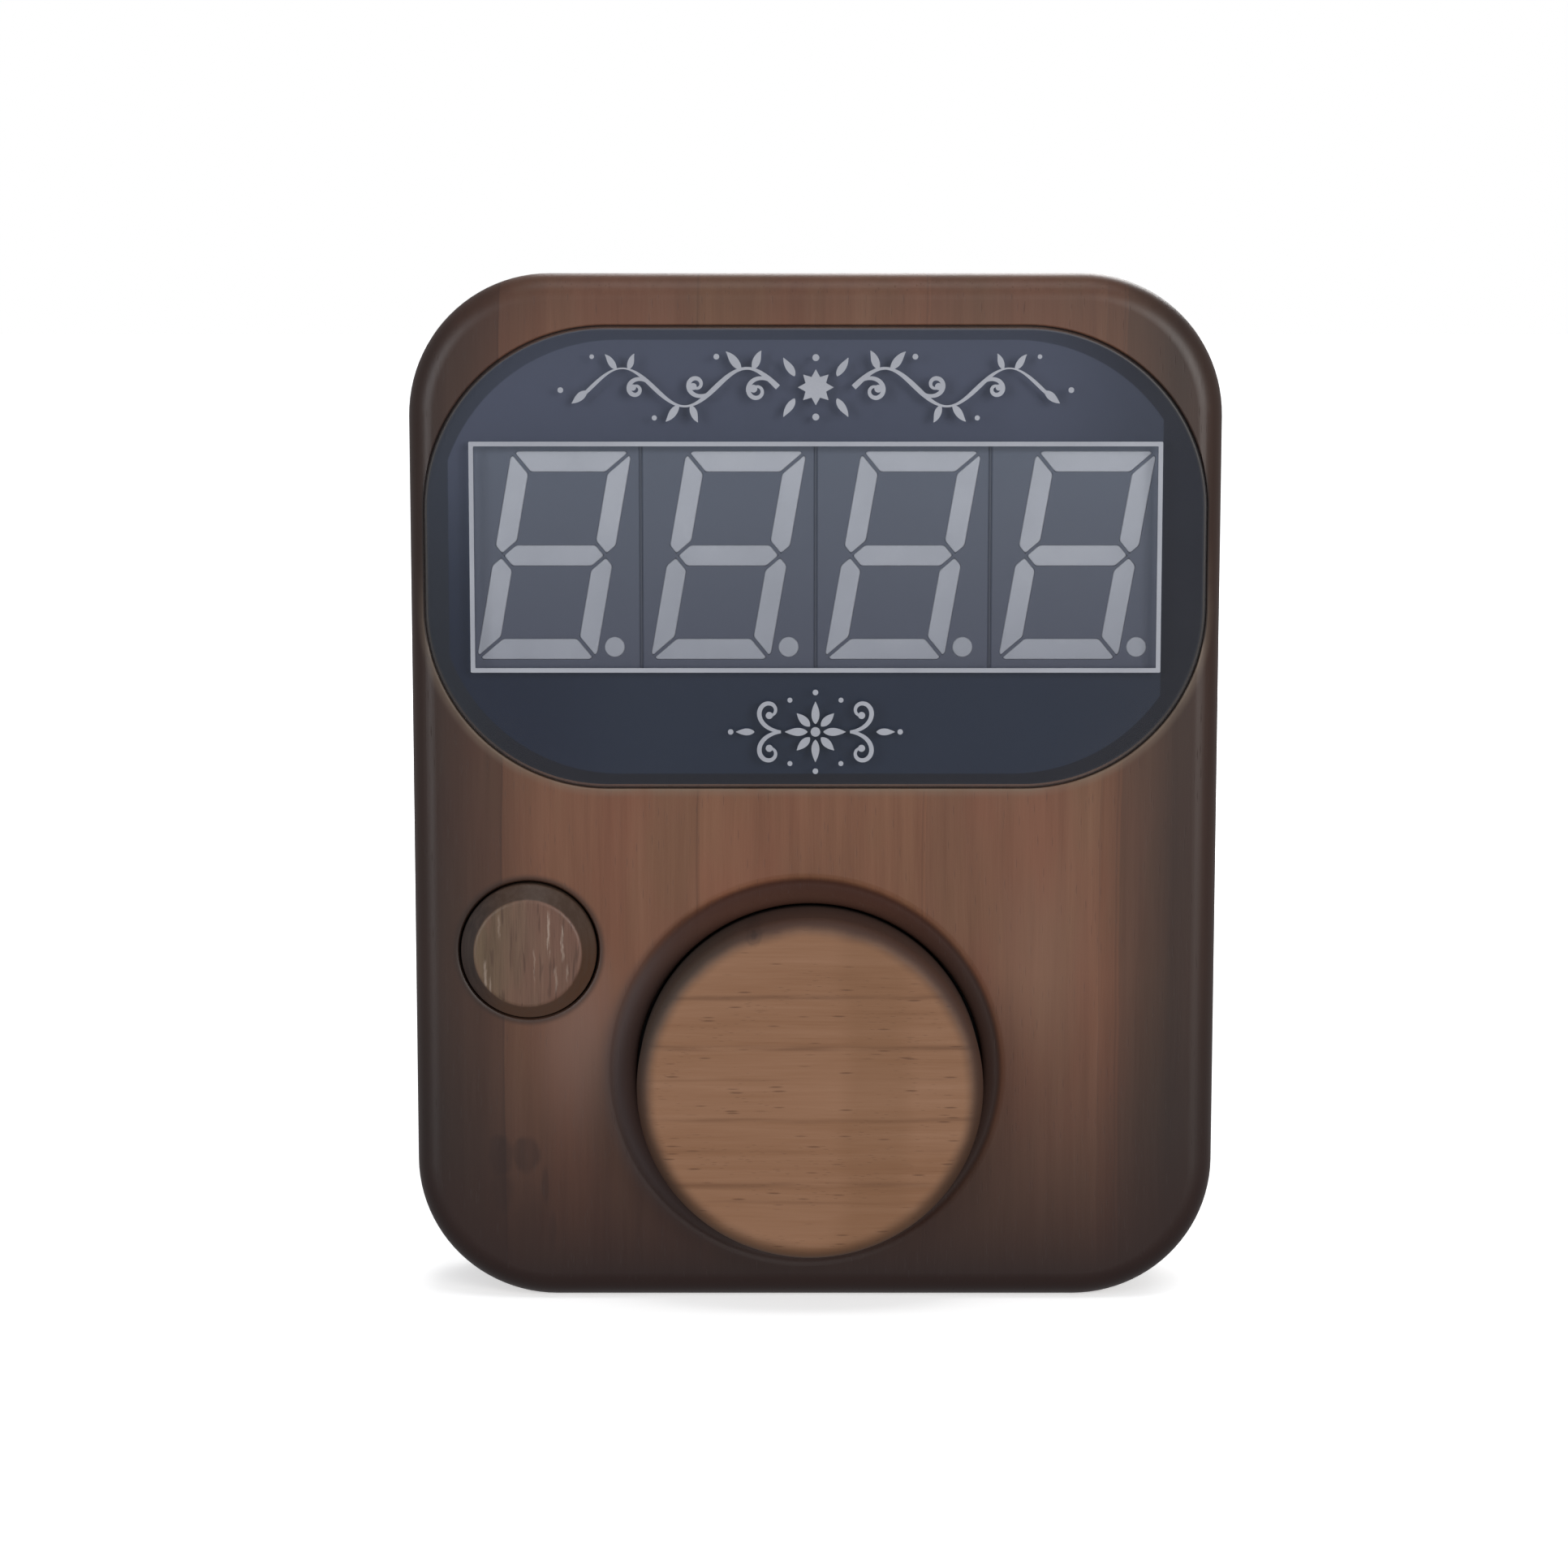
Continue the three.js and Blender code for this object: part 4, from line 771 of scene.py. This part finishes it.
tools = []
w, h, r = PANEL_W + 0.8, PANEL_H + 0.8, PANEL_R + 0.4
tools.append(loft("recess", [rr_ring(w, h, r, RECESS_Y, 32, 0, PANEL_Z), rr_ring(w, h, r, FRONT_Y + 0.45, 32, 0, PANEL_Z),
                             rr_ring(w + 0.25, h + 0.25, r + 0.125, FRONT_Y + 0.14, 32, 0, PANEL_Z),
                             rr_ring(w + 0.8, h + 0.8, r + 0.4, FRONT_Y - 0.02, 32, 0, PANEL_Z),
                             rr_ring(w + 1.0, h + 1.0, r + 0.5, FRONT_Y - 2, 32, 0, PANEL_Z)]))
tools.append(loft("window", [rr_ring(153.6, 57.4, 2, FRONT_Y, 4, 0, MODULE_Z), rr_ring(153.6, 57.4, 2, WALL_Y + 1, 4, 0, MODULE_Z)]))
dish = [(44.9, FRONT_Y - 1, 0), (44.9, FRONT_Y - 0.02, 0), (44.35, FRONT_Y + 0.03, 0), (43.85, FRONT_Y + 0.11, 0), (43.45, FRONT_Y + 0.23, 0), (43.16, FRONT_Y + 0.38, 0)]
for i in range(1, 17):
    a = math.pi / 2 * i / 16
    t = math.sin(a)
    dish.append((38.6 + 4.4 * (1 - t), FRONT_Y + 0.54 + 2.46 * (1 - math.cos(a)), t))
dish.append((38.6, WALL_Y + 1, 1))
rings = []
for r, y, t in dish:
    cx, cz = DISHX + (CBX - DISHX) * t, DISHZ + (CBZ - DISHZ) * t
    rings.append([(cx + r * math.cos(2 * math.pi * i / 160), y, cz + r * math.sin(2 * math.pi * i / 160)) for i in range(160)])
tools.append(loft("bore", rings))
tools.append(lathe("small_bore", [(0, FRONT_Y - 1), (17.1, FRONT_Y - 1), (16.55, FRONT_Y - 0.02), (15.75, FRONT_Y + 0.25), (15.45, FRONT_Y + 0.7),
                                  (15.4, FRONT_Y + 1.1), (15.4, WALL_Y + 1), (0, WALL_Y + 1)], RBX, RBZ, 96))
for sx in (-1, 1):
    for z in (16, 89.5):
        tools.append(disc(1.6, WALL_Y - 4.5, -26, sx * 70, z))
    for sz in (-1, 1):
        tools.append(disc(1.9, -39.4, WALL_Y + 1, CBX + sx * 37.5, CBZ + sz * 30))
        tools.append(disc(1.6, -17, 0, sx * 76.7, sz * 100.5))
for x in (-69.4, -57.4):
    tools.append(disc(1.6, -30, -15, x, -9.5))
for x in (-56.5, 53.5):
    tools.append(disc(1.6, -39, WALL_Y + 1, x, CBZ))
tools.append(box(48 - 16.7, 48 + 16.7, -25.1, -14.9, -116, -109.6))
tools.append(box(48 - 10.2, 48 + 10.2, -24.1, -15.9, -112, -100))
carve(block, tools)
smooth(block, 25)
piece(block, "case", MATS["stained_wood"], "stained_wood", "front_body")

# ------------------------------------------------------------------ panel, film, print
rings = [rr_ring(PANEL_W - 0.4, PANEL_H - 0.4, PANEL_R - 0.2, PANEL_BACK, 40, 0, PANEL_Z),
         rr_ring(PANEL_W, PANEL_H, PANEL_R, PANEL_BACK - 0.2, 40, 0, PANEL_Z)]
for i in range(6):
    a = math.pi / 2 * i / 5
    c = 0.5 * (1 - math.cos(a))
    rings.append(rr_ring(PANEL_W - 2 * c, PANEL_H - 2 * c, PANEL_R - c, PANEL_FRONT + 0.5 - 0.5 * math.sin(a), 40, 0, PANEL_Z))
plate = smooth(loft("panel_plate", rings), 50)
piece(plate, "case", MATS["smoked_panel"], "smoked_panel", "display_panel")

film = loft("panel_film", [rr_ring(PANEL_W - 0.7, PANEL_H - 0.7, PANEL_R - 0.35, PANEL_BACK + 0.10, 40, 0, PANEL_Z),
                           rr_ring(PANEL_W - 0.7, PANEL_H - 0.7, PANEL_R - 0.35, PANEL_BACK + 0.22, 40, 0, PANEL_Z)])
carve(film, [loft("opening", [rr_ring(OUTLINE_W - 0.9, OUTLINE_H - 0.9, 0.4, PANEL_BACK - 1, 3, 0, OUTLINE_Z),
                              rr_ring(OUTLINE_W - 0.9, OUTLINE_H - 0.9, 0.4, PANEL_BACK + 1, 3, 0, OUTLINE_Z)])])
smooth(film, 30)
piece(film, "case", FILM, "panel_print")

outline = loft("panel_outline", [rr_ring(OUTLINE_W, OUTLINE_H, 0.25, PANEL_FRONT - 0.05, 3, 0, OUTLINE_Z),
                                 rr_ring(OUTLINE_W, OUTLINE_H, 0.25, PANEL_FRONT + 0.02, 3, 0, OUTLINE_Z)])
carve(outline, [loft("inside", [rr_ring(OUTLINE_W - 2 * OUTLINE_T, OUTLINE_H - 2 * OUTLINE_T, 0.15, PANEL_FRONT - 1, 3, 0, OUTLINE_Z),
                                rr_ring(OUTLINE_W - 2 * OUTLINE_T, OUTLINE_H - 2 * OUTLINE_T, 0.15, PANEL_FRONT + 1, 3, 0, OUTLINE_Z)])])
smooth(outline, 30)
piece(outline, "case", MATS["panel_print"], "panel_print")


# Printed ornament: a scrolling stem with tendrils and leaves, mirrored about the middle, and a small rosette between curls.
def ribbon(points, widths):
    """The outline of a stroke of changing width, its ends round."""
    n, left, right = len(points), [], []
    for i, (x, z) in enumerate(points):
        a, b = points[max(0, i - 1)], points[min(n - 1, i + 1)]
        d = Vector((b[0] - a[0], b[1] - a[1])).normalized()
        k = widths[i] / 2
        left.append((x - d.y * k, z + d.x * k))
        right.append((x + d.y * k, z - d.x * k))
    return left + right[::-1]


def sweep(x, z, heading, length, k0, k1, w0, w1, swell=0.0, steps=48):
    """A stroke from a point: its curvature goes from k0 to k1 (per mm) along its length. Gives the strokes and the end."""
    pts, wid, a = [(x, z)], [w0], math.radians(heading)
    ds = length / steps
    for i in range(steps):
        t = (i + 0.5) / steps
        a += (k0 + (k1 - k0) * t ** 1.6) * ds
        x, z = x + math.cos(a) * ds, z + math.sin(a) * ds
        pts.append((x, z))
        t = (i + 1) / steps
        wid.append(w0 + (w1 - w0) * t + swell * math.sin(math.pi * t))
    return ribbon(pts, wid), (x, z)


def leaf(x, z, angle, length, width, bend=0.0, steps=18):
    pts, wid = [], []
    a = math.radians(angle)
    for i in range(steps + 1):
        t = i / steps
        u, v = length * t, bend * math.sin(math.pi * t * 0.5) ** 2
        pts.append((x + u * math.cos(a) - v * math.sin(a), z + u * math.sin(a) + v * math.cos(a)))
        wid.append(max(0.14, width * math.sin(math.pi * min(1.0, t ** 0.8)) ** 0.85))
    return ribbon(pts, wid)


def dot(x, z, r, n=24):
    return [(x + r * math.cos(2 * math.pi * i / n), z + r * math.sin(2 * math.pi * i / n)) for i in range(n)]


def star(x, z, r, points=8, inner=0.62):
    return [(x + r * (inner if i % 2 else 1.0) * math.cos(math.pi * i / points + math.pi / 2),
             z + r * (inner if i % 2 else 1.0) * math.sin(math.pi * i / points + math.pi / 2)) for i in range(2 * points)]


def mirrored(shapes):
    return shapes + [[(-x, z) for x, z in s] for s in shapes]


UZ, WAVE, AMP, X0 = 89.4, 27.0, 4.1, 8.2
omega = 2 * math.pi / WAVE
vine_z = lambda x: UZ + AMP * math.sin((x - X0) * omega)
vine_a = lambda x: math.degrees(math.atan(AMP * omega * math.cos((x - X0) * omega)))
steps = 90
xs = [X0 + (50.0 - X0) * i / steps for i in range(steps + 1)]
upper = [ribbon([(x, vine_z(x)) for x in xs], [0.95 - 0.45 * (x - X0) / 42.0 + 0.28 * math.cos(2 * (x - X0) * omega) for x in xs])]
for i, up in ((0, 1), (1, -1), (2, 1)):
    g = 1.0 - 0.10 * i
    sx = X0 + i * WAVE / 2 + 1.0
    curl, (ex, ez) = sweep(sx, vine_z(sx), vine_a(sx), 14.6 * g, -0.22 * up / g, -1.05 * up / g, 0.55, 0.50, 0.45)
    upper.append(curl)
    upper.append(dot(ex, ez, 0.85 * g))
    cx = X0 + (i + 0.5) * WAVE / 2
    upper.append(leaf(cx - 1.2, vine_z(cx - 1.2), 128 * up, 4.3 * g, 1.7 * g, -0.9 * up))
    upper.append(leaf(cx + 1.2, vine_z(cx + 1.2), 38 * up, 4.9 * g, 1.8 * g, 0.9 * up))
    upper.append(dot(cx + 6.6, UZ + up * 6.6, 0.62 * g))
upper.append(leaf(49.6, vine_z(49.6), vine_a(49.6) + 12, 4.2, 1.7, -0.5))
upper.append(dot(55.4, UZ - 0.6, 0.62))
upper.append(leaf(4.6, UZ + 2.4, 66, 4.6, 1.6, -0.6))
upper.append(leaf(4.6, UZ - 2.4, -66, 4.6, 1.6, 0.6))
upper = mirrored(upper)
upper += [star(0, UZ, 3.9), dot(0, UZ + 6.4, 0.75), dot(0, UZ - 6.4, 0.75)]

LZ = 14.2
curls = []
for up in (1, -1):
    curl, (ex, ez) = sweep(7.6, LZ, 6 * up, 14.6, 0.12 * up, 0.92 * up, 0.60, 0.50, 0.45)
    curls += [curl, dot(ex, ez, 0.78)]
curls += [leaf(13.4, LZ, 0, 4.0, 1.5), dot(18.6, LZ, 0.6), dot(5.6, LZ + 7.0, 0.55), dot(5.6, LZ - 7.0, 0.55)]
lower = mirrored(curls)
for i in range(8):
    a = math.pi / 4 * i
    lower.append(leaf(1.75 * math.cos(a), LZ + 1.75 * math.sin(a), 45 * i, 4.0 if i % 2 else 4.9, 1.75))
lower += [dot(0, LZ, 1.05), dot(0, LZ + 8.7, 0.62), dot(0, LZ - 8.7, 0.62)]
prints = [prism("stroke", [q], PANEL_FRONT - 0.05, PANEL_FRONT + 0.02) for q in upper + lower]
prints[0].name = "panel_ornament"
ornament = smooth(carve(prints[0], prints[1:], "UNION"), 30, False)
piece(ornament, "case", MATS["panel_print"], "panel_print")

# ------------------------------------------------------------------ digit segments
HW, HH, T, K, C = 13.2, 22.85, 4.6, 0.42, 1.76
SEG_A = [(-HW + K + 1.1, HH), (HW - K - 1.1, HH), (HW - K - 0.5, HH - 0.5), (HW - T - K, HH - T), (-HW + T + K, HH - T), (-HW + K + 0.5, HH - 0.5)]
SEG_B = [(HW - 0.5, HH - K - 0.5), (HW, HH - K - 1.1), (HW, K + C), (HW - C, K), (HW - T, K + T - C), (HW - T, HH - T - K)]
SEG_G = [(HW - C - K, 0), (HW - C - K - T / 2, -T / 2), (-HW + C + K + T / 2, -T / 2), (-HW + C + K, 0),
         (-HW + C + K + T / 2, T / 2), (HW - C - K - T / 2, T / 2)]
flip_z = lambda s: [(u, -v) for u, v in s]
flip_x = lambda s: [(-u, v) for u, v in s]
SEGMENTS = [SEG_A, SEG_B, flip_z(SEG_B), flip_z(SEG_A), flip_x(flip_z(SEG_B)), flip_x(SEG_B), SEG_G]
SLANT = math.tan(math.radians(10))
for n in range(4):
    cx = (n - 1.5) * PITCH
    shapes = []
    for s in SEGMENTS:
        q = [(cx + u + v * SLANT, MODULE_Z + v) for u, v in s]
        shapes.append(rounded(inset(q, 0.06), 0.6, 4))
    shapes.append(dot(cx + 13.2, MODULE_Z - 20.1, 2.22, 40))
    lens = prism(f"led_segments_{n + 1}", shapes, MODULE_F - 0.04, MODULE_F + POCKET - 0.03, 0.16)
    smooth(lens, 35, False)
    piece(lens, "case", MATS["segment_lens"], "segment_lens")

strips = prism("module_joint_strips", [[(x - 0.16, 25.2), (x + 0.16, 25.2), (x + 0.16, 80.2), (x - 0.16, 80.2)] for x in (-38.2, 0.0, 38.2)],
               MODULE_F + 0.14, MODULE_F + 1.4)
piece(smooth(strips, 30, False), "case", MATS["module_face"], "module_face")

# ------------------------------------------------------------------ buttons
prof = [(0, -33.0), (37.2, -33.0), (37.7, -33.08), (38.0, -33.5), (38.0, -54.1)]
for i in range(1, 15):
    a = math.pi / 2 * i / 14
    prof.append((34.6 + 3.4 * math.cos(a), -54.1 - 3.4 * math.sin(a)))
for f in (0.82, 0.7, 0.55, 0.4, 0.25, 0.12):
    prof.append((34.6 * f, -57.5 - 0.5 * (1 - f * f)))
prof.append((0, -58.0))
big = smooth(lathe("count_button_turned", prof, CBX, CBZ, 144), 40, False)
piece(big, "count_key", MATS["pale_wood"], "pale_wood", "count_button")

prof = [(0, -33.0), (14.4, -33.0), (14.85, -33.15), (15.0, -33.5), (15.0, -42.6), (14.93, -42.85), (14.7, -43.1), (12.1, -46.0), (11.9, -46.22),
        (11.6, -46.36), (11.2, -46.41), (6.0, -46.47), (0, -46.5)]
small = smooth(lathe("reset_button_turned", prof, RBX, RBZ, 112), 32)
piece(small, "reset_key", MATS["small_button_wood"], "small_button_wood", "reset_button")


# ------------------------------------------------------------------ springs
def spring(node, cx, cz, r, y0, y1, turns=4.5, wire=0.7, per_turn=28, sides=8):
    """A wire coil along Y with its end turns closed up: one end rides on the button, the other on the case."""
    n = round(turns * per_turn)
    verts, faces = [], []
    for i in range(n + 1):
        t = i / n
        y = y0 + wire / 2 + (y1 - y0 - wire) * (0.35 * t + 0.65 * t * t * (3 - 2 * t))
        a = 2 * math.pi * turns * t
        for j in range(sides):
            b = 2 * math.pi * j / sides
            rr = r + wire / 2 * math.cos(b)
            verts.append((cx + rr * math.cos(a), y + wire / 2 * math.sin(b), cz + rr * math.sin(a)))
    for i in range(n):
        for j in range(sides):
            p, q = i * sides + j, i * sides + (j + 1) % sides
            faces.append((p, q, q + sides, p + sides))
    faces += [tuple(range(sides)), tuple(n * sides + j for j in reversed(range(sides)))]
    ob = smooth(build(node + "_coil", verts, faces), 50, False)
    ob.data.materials.clear()
    ob.data.materials.append(MATS["spring_steel"])
    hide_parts(node)
    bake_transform(ob)


i = 1
for sx in (-1, 1):
    for sz in (-1, 1):
        spring("count_spring_%d" % i, CBX + sx * 37.5, CBZ + sz * 30, 3.4, -29.4, -17.3)
        i += 1
spring("reset_spring", RBX, RBZ, 7.2, -30.4, -16.3)


# ------------------------------------------------------------------ back
def screw_shape(name, cx, cz, head_y, head_t, head_r, shank_r, tip_y):
    """A pan-head screw with a cross recess, its head towards +Y."""
    prof = [(0, tip_y), (shank_r * 0.3, tip_y + 0.2), (shank_r, tip_y + 1.6), (shank_r, head_y), (head_r * 0.96, head_y), (head_r, head_y + head_t * 0.12)]
    for i in range(1, 9):
        a = math.pi / 2 * i / 8
        prof.append((head_r * (0.30 + 0.70 * math.cos(a)), head_y + head_t * (0.12 + 0.88 * math.sin(a))))
    prof.append((0, head_y + head_t))
    ob = lathe(name, prof, cx, cz, 40)
    a, b, top, low = head_r * 0.60, head_r * 0.15, head_y + head_t + 0.4, head_y + head_t * 0.30

    def wedge(lx, lz):
        v = [(cx + sx * lx * k, y, cz + sz * lz * k) for k, y in ((0.72, low), (1.12, top)) for sx in (-1, 1) for sz in (-1, 1)]
        return build("wedge", v, [(0, 1, 3, 2), (4, 6, 7, 5), (0, 4, 5, 1), (2, 3, 7, 6), (0, 2, 6, 4), (1, 5, 7, 3)])

    carve(ob, [wedge(a, b), wedge(b, a)])
    return smooth(ob, 35, False)


w, h, r = BODY_W - 0.6, BODY_H - 0.6, CORNER_R - 0.3
rings = [rr_ring(w, h, r, -COVER_T), rr_ring(w, h, r, -0.8)]
for i in range(1, 6):
    a = math.pi / 2 * i / 5
    c = 0.8 * (1 - math.cos(a))
    rings.append(rr_ring(w - 2 * c, h - 2 * c, r - c, -0.8 + 0.8 * math.sin(a)))
back = loft("back_board", rings)
tools = [loft("doorway", [rr_ring(62, 62, 0.6, -COVER_T - 1, 4, 0, 53), rr_ring(62, 62, 0.6, -0.45, 4, 0, 53), rr_ring(62.5, 62.5, 0.85, -0.1, 4, 0, 53),
                          rr_ring(63.1, 63.1, 1.1, 1, 4, 0, 53)]),
         loft("seat", [rr_ring(46.8, 16.8, 2.4, -2.6, 8, 0, 96), rr_ring(46.8, 16.8, 2.4, 1, 8, 0, 96)]),
         loft("room", [rr_ring(13, 14, 1, -COVER_T - 1, 4, 0, 96), rr_ring(13, 14, 1, -1, 4, 0, 96)])]
for sx in (-1, 1):
    tools.append(disc(1.7, -COVER_T - 1, 0, sx * 17, 96))
    for sz in (-1, 1):
        tools.append(lathe("sink", [(0, -COVER_T - 1), (1.7, -COVER_T - 1), (1.7, -2.1), (3.4, -2.1), (3.4, -0.35), (3.75, 0.02), (4.4, 1), (0, 1)],
                           sx * 76.7, sz * 100.5, 48))
carve(back, tools)
smooth(back, 28)
piece(back, "case", MATS["fibreboard"], "fibreboard", "back_cover")

i = 1
for sx in (-1, 1):
    for sz in (-1, 1):
        s = screw_shape(f"back_screw_{i}", sx * 76.7, sz * 100.5, -1.8, 1.6, 3.0, 1.25, -15.5)
        piece(s, "case", MATS["zinc_steel"], "zinc_steel", f"cover_screw_{i}")
        i += 1
for n, x in enumerate((-17, 17)):
    s = screw_shape(f"plate_screw_{n + 1}", x, 96, -0.8, 0.7, 2.7, 1.25, -7)
    piece(s, "case", MATS["zinc_steel"], "zinc_steel", f"hanger_screw_{n + 1}")

KR, SR, KZ, TZ = 4.6, 2.2, 93.0, 100.0
join = math.sqrt(KR * KR - SR * SR)
a0, a1 = math.atan2(join, -SR), math.atan2(join, SR) + 2 * math.pi
key = [(KR * math.cos(a0 + (a1 - a0) * i / 44), KZ + KR * math.sin(a0 + (a1 - a0) * i / 44)) for i in range(45)]
key += [(SR * math.cos(math.pi * i / 20), TZ + SR * math.sin(math.pi * i / 20)) for i in range(21)]
hang = loft("keyhole_plate", [rr_ring(46, 16, 2, -2.3, 12, 0, 96), rr_ring(46, 16, 2, -1.35, 12, 0, 96), rr_ring(45.6, 15.6, 1.8, -1.1, 12, 0, 96)])
carve(hang, [prism("key", [key], -4, 1)] + [disc(1.7, -4, 1, sx * 17, 96, 32) for sx in (-1, 1)])
smooth(hang, 30)
piece(hang, "case", MATS["zinc_steel"], "zinc_steel", "hanger_plate")

dz = 53.0
door = loft("door_panel", [rr_ring(60.8, 60.4, 1.2, -3.0, 6, 0, dz), rr_ring(60.8, 60.4, 1.2, -1.3, 6, 0, dz), rr_ring(60.5, 60.1, 1.05, -0.95, 6, 0, dz),
                           rr_ring(60.0, 59.6, 0.8, -0.8, 6, 0, dz)])
grips = [loft("grip", [rr_ring(18, 0.75, 0.36, -1.5, 6, 0, 74.85 + k * 1.9), rr_ring(18.2, 1.0, 0.48, -0.2, 6, 0, 74.85 + k * 1.9)]) for k in range(4)]
grips.append(loft("thumb", [rr_ring(24, 14, 6, -1.12, 12, 0, 77.2), rr_ring(24.8, 14.8, 6.4, -0.6, 12, 0, 77.2)]))
carve(door, grips)
smooth(door, 30)
piece(door, "door", MATS["black_plastic"], "black_plastic", "battery_door")

for i in range(4):
    x, up, hl = (i - 1.5) * 14.6, (-1 if i % 2 else 1), 49.2 / 2
    prof = [(0, -hl), (6.2, -hl), (6.6, -hl + 0.12), (6.95, -hl + 0.4), (7.1, -hl + 0.9), (7.1, hl - 1.0), (6.95, hl - 0.55), (6.3, hl - 0.2), (5.6, hl - 0.1),
            (2.75, hl), (2.75, hl + 0.8), (2.55, hl + 1.1), (0, hl + 1.1)]
    cell = lathe("cell_" + str(i + 1), prof, 0, 0, 48)
    for v in cell.data.vertices:
        px, py, pz = v.co
        v.co = (x * MM + px, -0.0122 - pz * up, 0.053 + py * up)
    cell.data.update()
    smooth(cell, 35, False)
    piece(cell, "case", MATS["cell_jacket"], "cell_jacket", f"battery_{i + 1}")

# ------------------------------------------------------------------ floor, lights, world
floor_look = bpy.data.materials.new("pale_floor_look")
floor_look.use_nodes = True
fp = floor_look.node_tree.nodes["Principled BSDF"]
fp.inputs["Base Color"].default_value = (0.88, 0.88, 0.88, 1.0)
fp.inputs["Roughness"].default_value = 0.85
fp.inputs["Emission Color"].default_value = (1.0, 1.0, 1.0, 1.0)
ft = floor_look.node_tree
where, reach, glow = ft.nodes.new("ShaderNodeTexCoord"), ft.nodes.new("ShaderNodeVectorMath"), ft.nodes.new("ShaderNodeMapRange")
reach.operation = "LENGTH"
glow.interpolation_type = "SMOOTHSTEP"
ft.links.new(where.outputs["Object"], reach.inputs[0])
ft.links.new(reach.outputs["Value"], glow.inputs["Value"])
for key, value in (("From Min", 0.18), ("From Max", 0.75), ("To Min", 0.50), ("To Max", 1.0)):
    glow.inputs[key].default_value = value
ft.links.new(glow.outputs["Result"], fp.inputs["Emission Strength"])
me = bpy.data.meshes.new("pale_floor")
S = 30.0
me.from_pydata([(-S, -S, -0.1142), (S, -S, -0.1142), (S, S, -0.1142), (-S, S, -0.1142)], [], [(0, 1, 2, 3)])
floor = bpy.data.objects.new("pale_floor", me)
scene.collection.objects.link(floor)
me.materials.append(floor_look)
floor.visible_diffuse = False
floor.visible_glossy = False

world = bpy.data.worlds.new("studio")
scene.world = world
world.use_nodes = True
wt = world.node_tree
wt.nodes.clear()
wo = wt.nodes.new("ShaderNodeOutputWorld")
seen, around = wt.nodes.new("ShaderNodeBackground"), wt.nodes.new("ShaderNodeBackground")
seen.inputs["Color"].default_value = (1.0, 1.0, 1.0, 1.0)
seen.inputs["Strength"].default_value = 1.0
around.inputs["Color"].default_value = (0.93, 0.96, 1.0, 1.0)
around.inputs["Strength"].default_value = 0.36
path, pick = wt.nodes.new("ShaderNodeLightPath"), wt.nodes.new("ShaderNodeMixShader")
wt.links.new(path.outputs["Is Camera Ray"], pick.inputs[0])
wt.links.new(around.outputs[0], pick.inputs[1])
wt.links.new(seen.outputs[0], pick.inputs[2])
wt.links.new(pick.outputs[0], wo.inputs[0])


def area(name, loc, target, size, power, colour=(1, 1, 1)):
    data = bpy.data.lights.new(name, "AREA")
    data.shape, data.size, data.size_y = "RECTANGLE", size[0], size[1]
    data.energy, data.color = power, colour
    ob = bpy.data.objects.new(name, data)
    ob.location = loc
    ob.rotation_euler = (Vector(target) - Vector(loc)).to_track_quat("-Z", "Y").to_euler()
    scene.collection.objects.link(ob)
    return ob


area("key", (0.95, -1.65, 0.42), (0.0, -0.04, 0.0), (0.9, 0.9), 24.0, (1.0, 0.975, 0.95))
area("fill", (-1.15, -1.55, 0.30), (0.0, -0.04, 0.0), (0.8, 1.0), 15.0, (0.97, 0.98, 1.0))
area("top", (0.1, -0.7, 1.9), (0.0, -0.02, 0.0), (0.9, 0.7), 8.0)
area("rear", (0.4, 1.7, 1.2), (0.0, 0.0, 0.0), (1.2, 1.0), 22.0)

scene.view_settings.view_transform = "Standard"
scene.view_settings.look = "None"
scene.view_settings.exposure = 0.0
scene.view_settings.gamma = 1.0
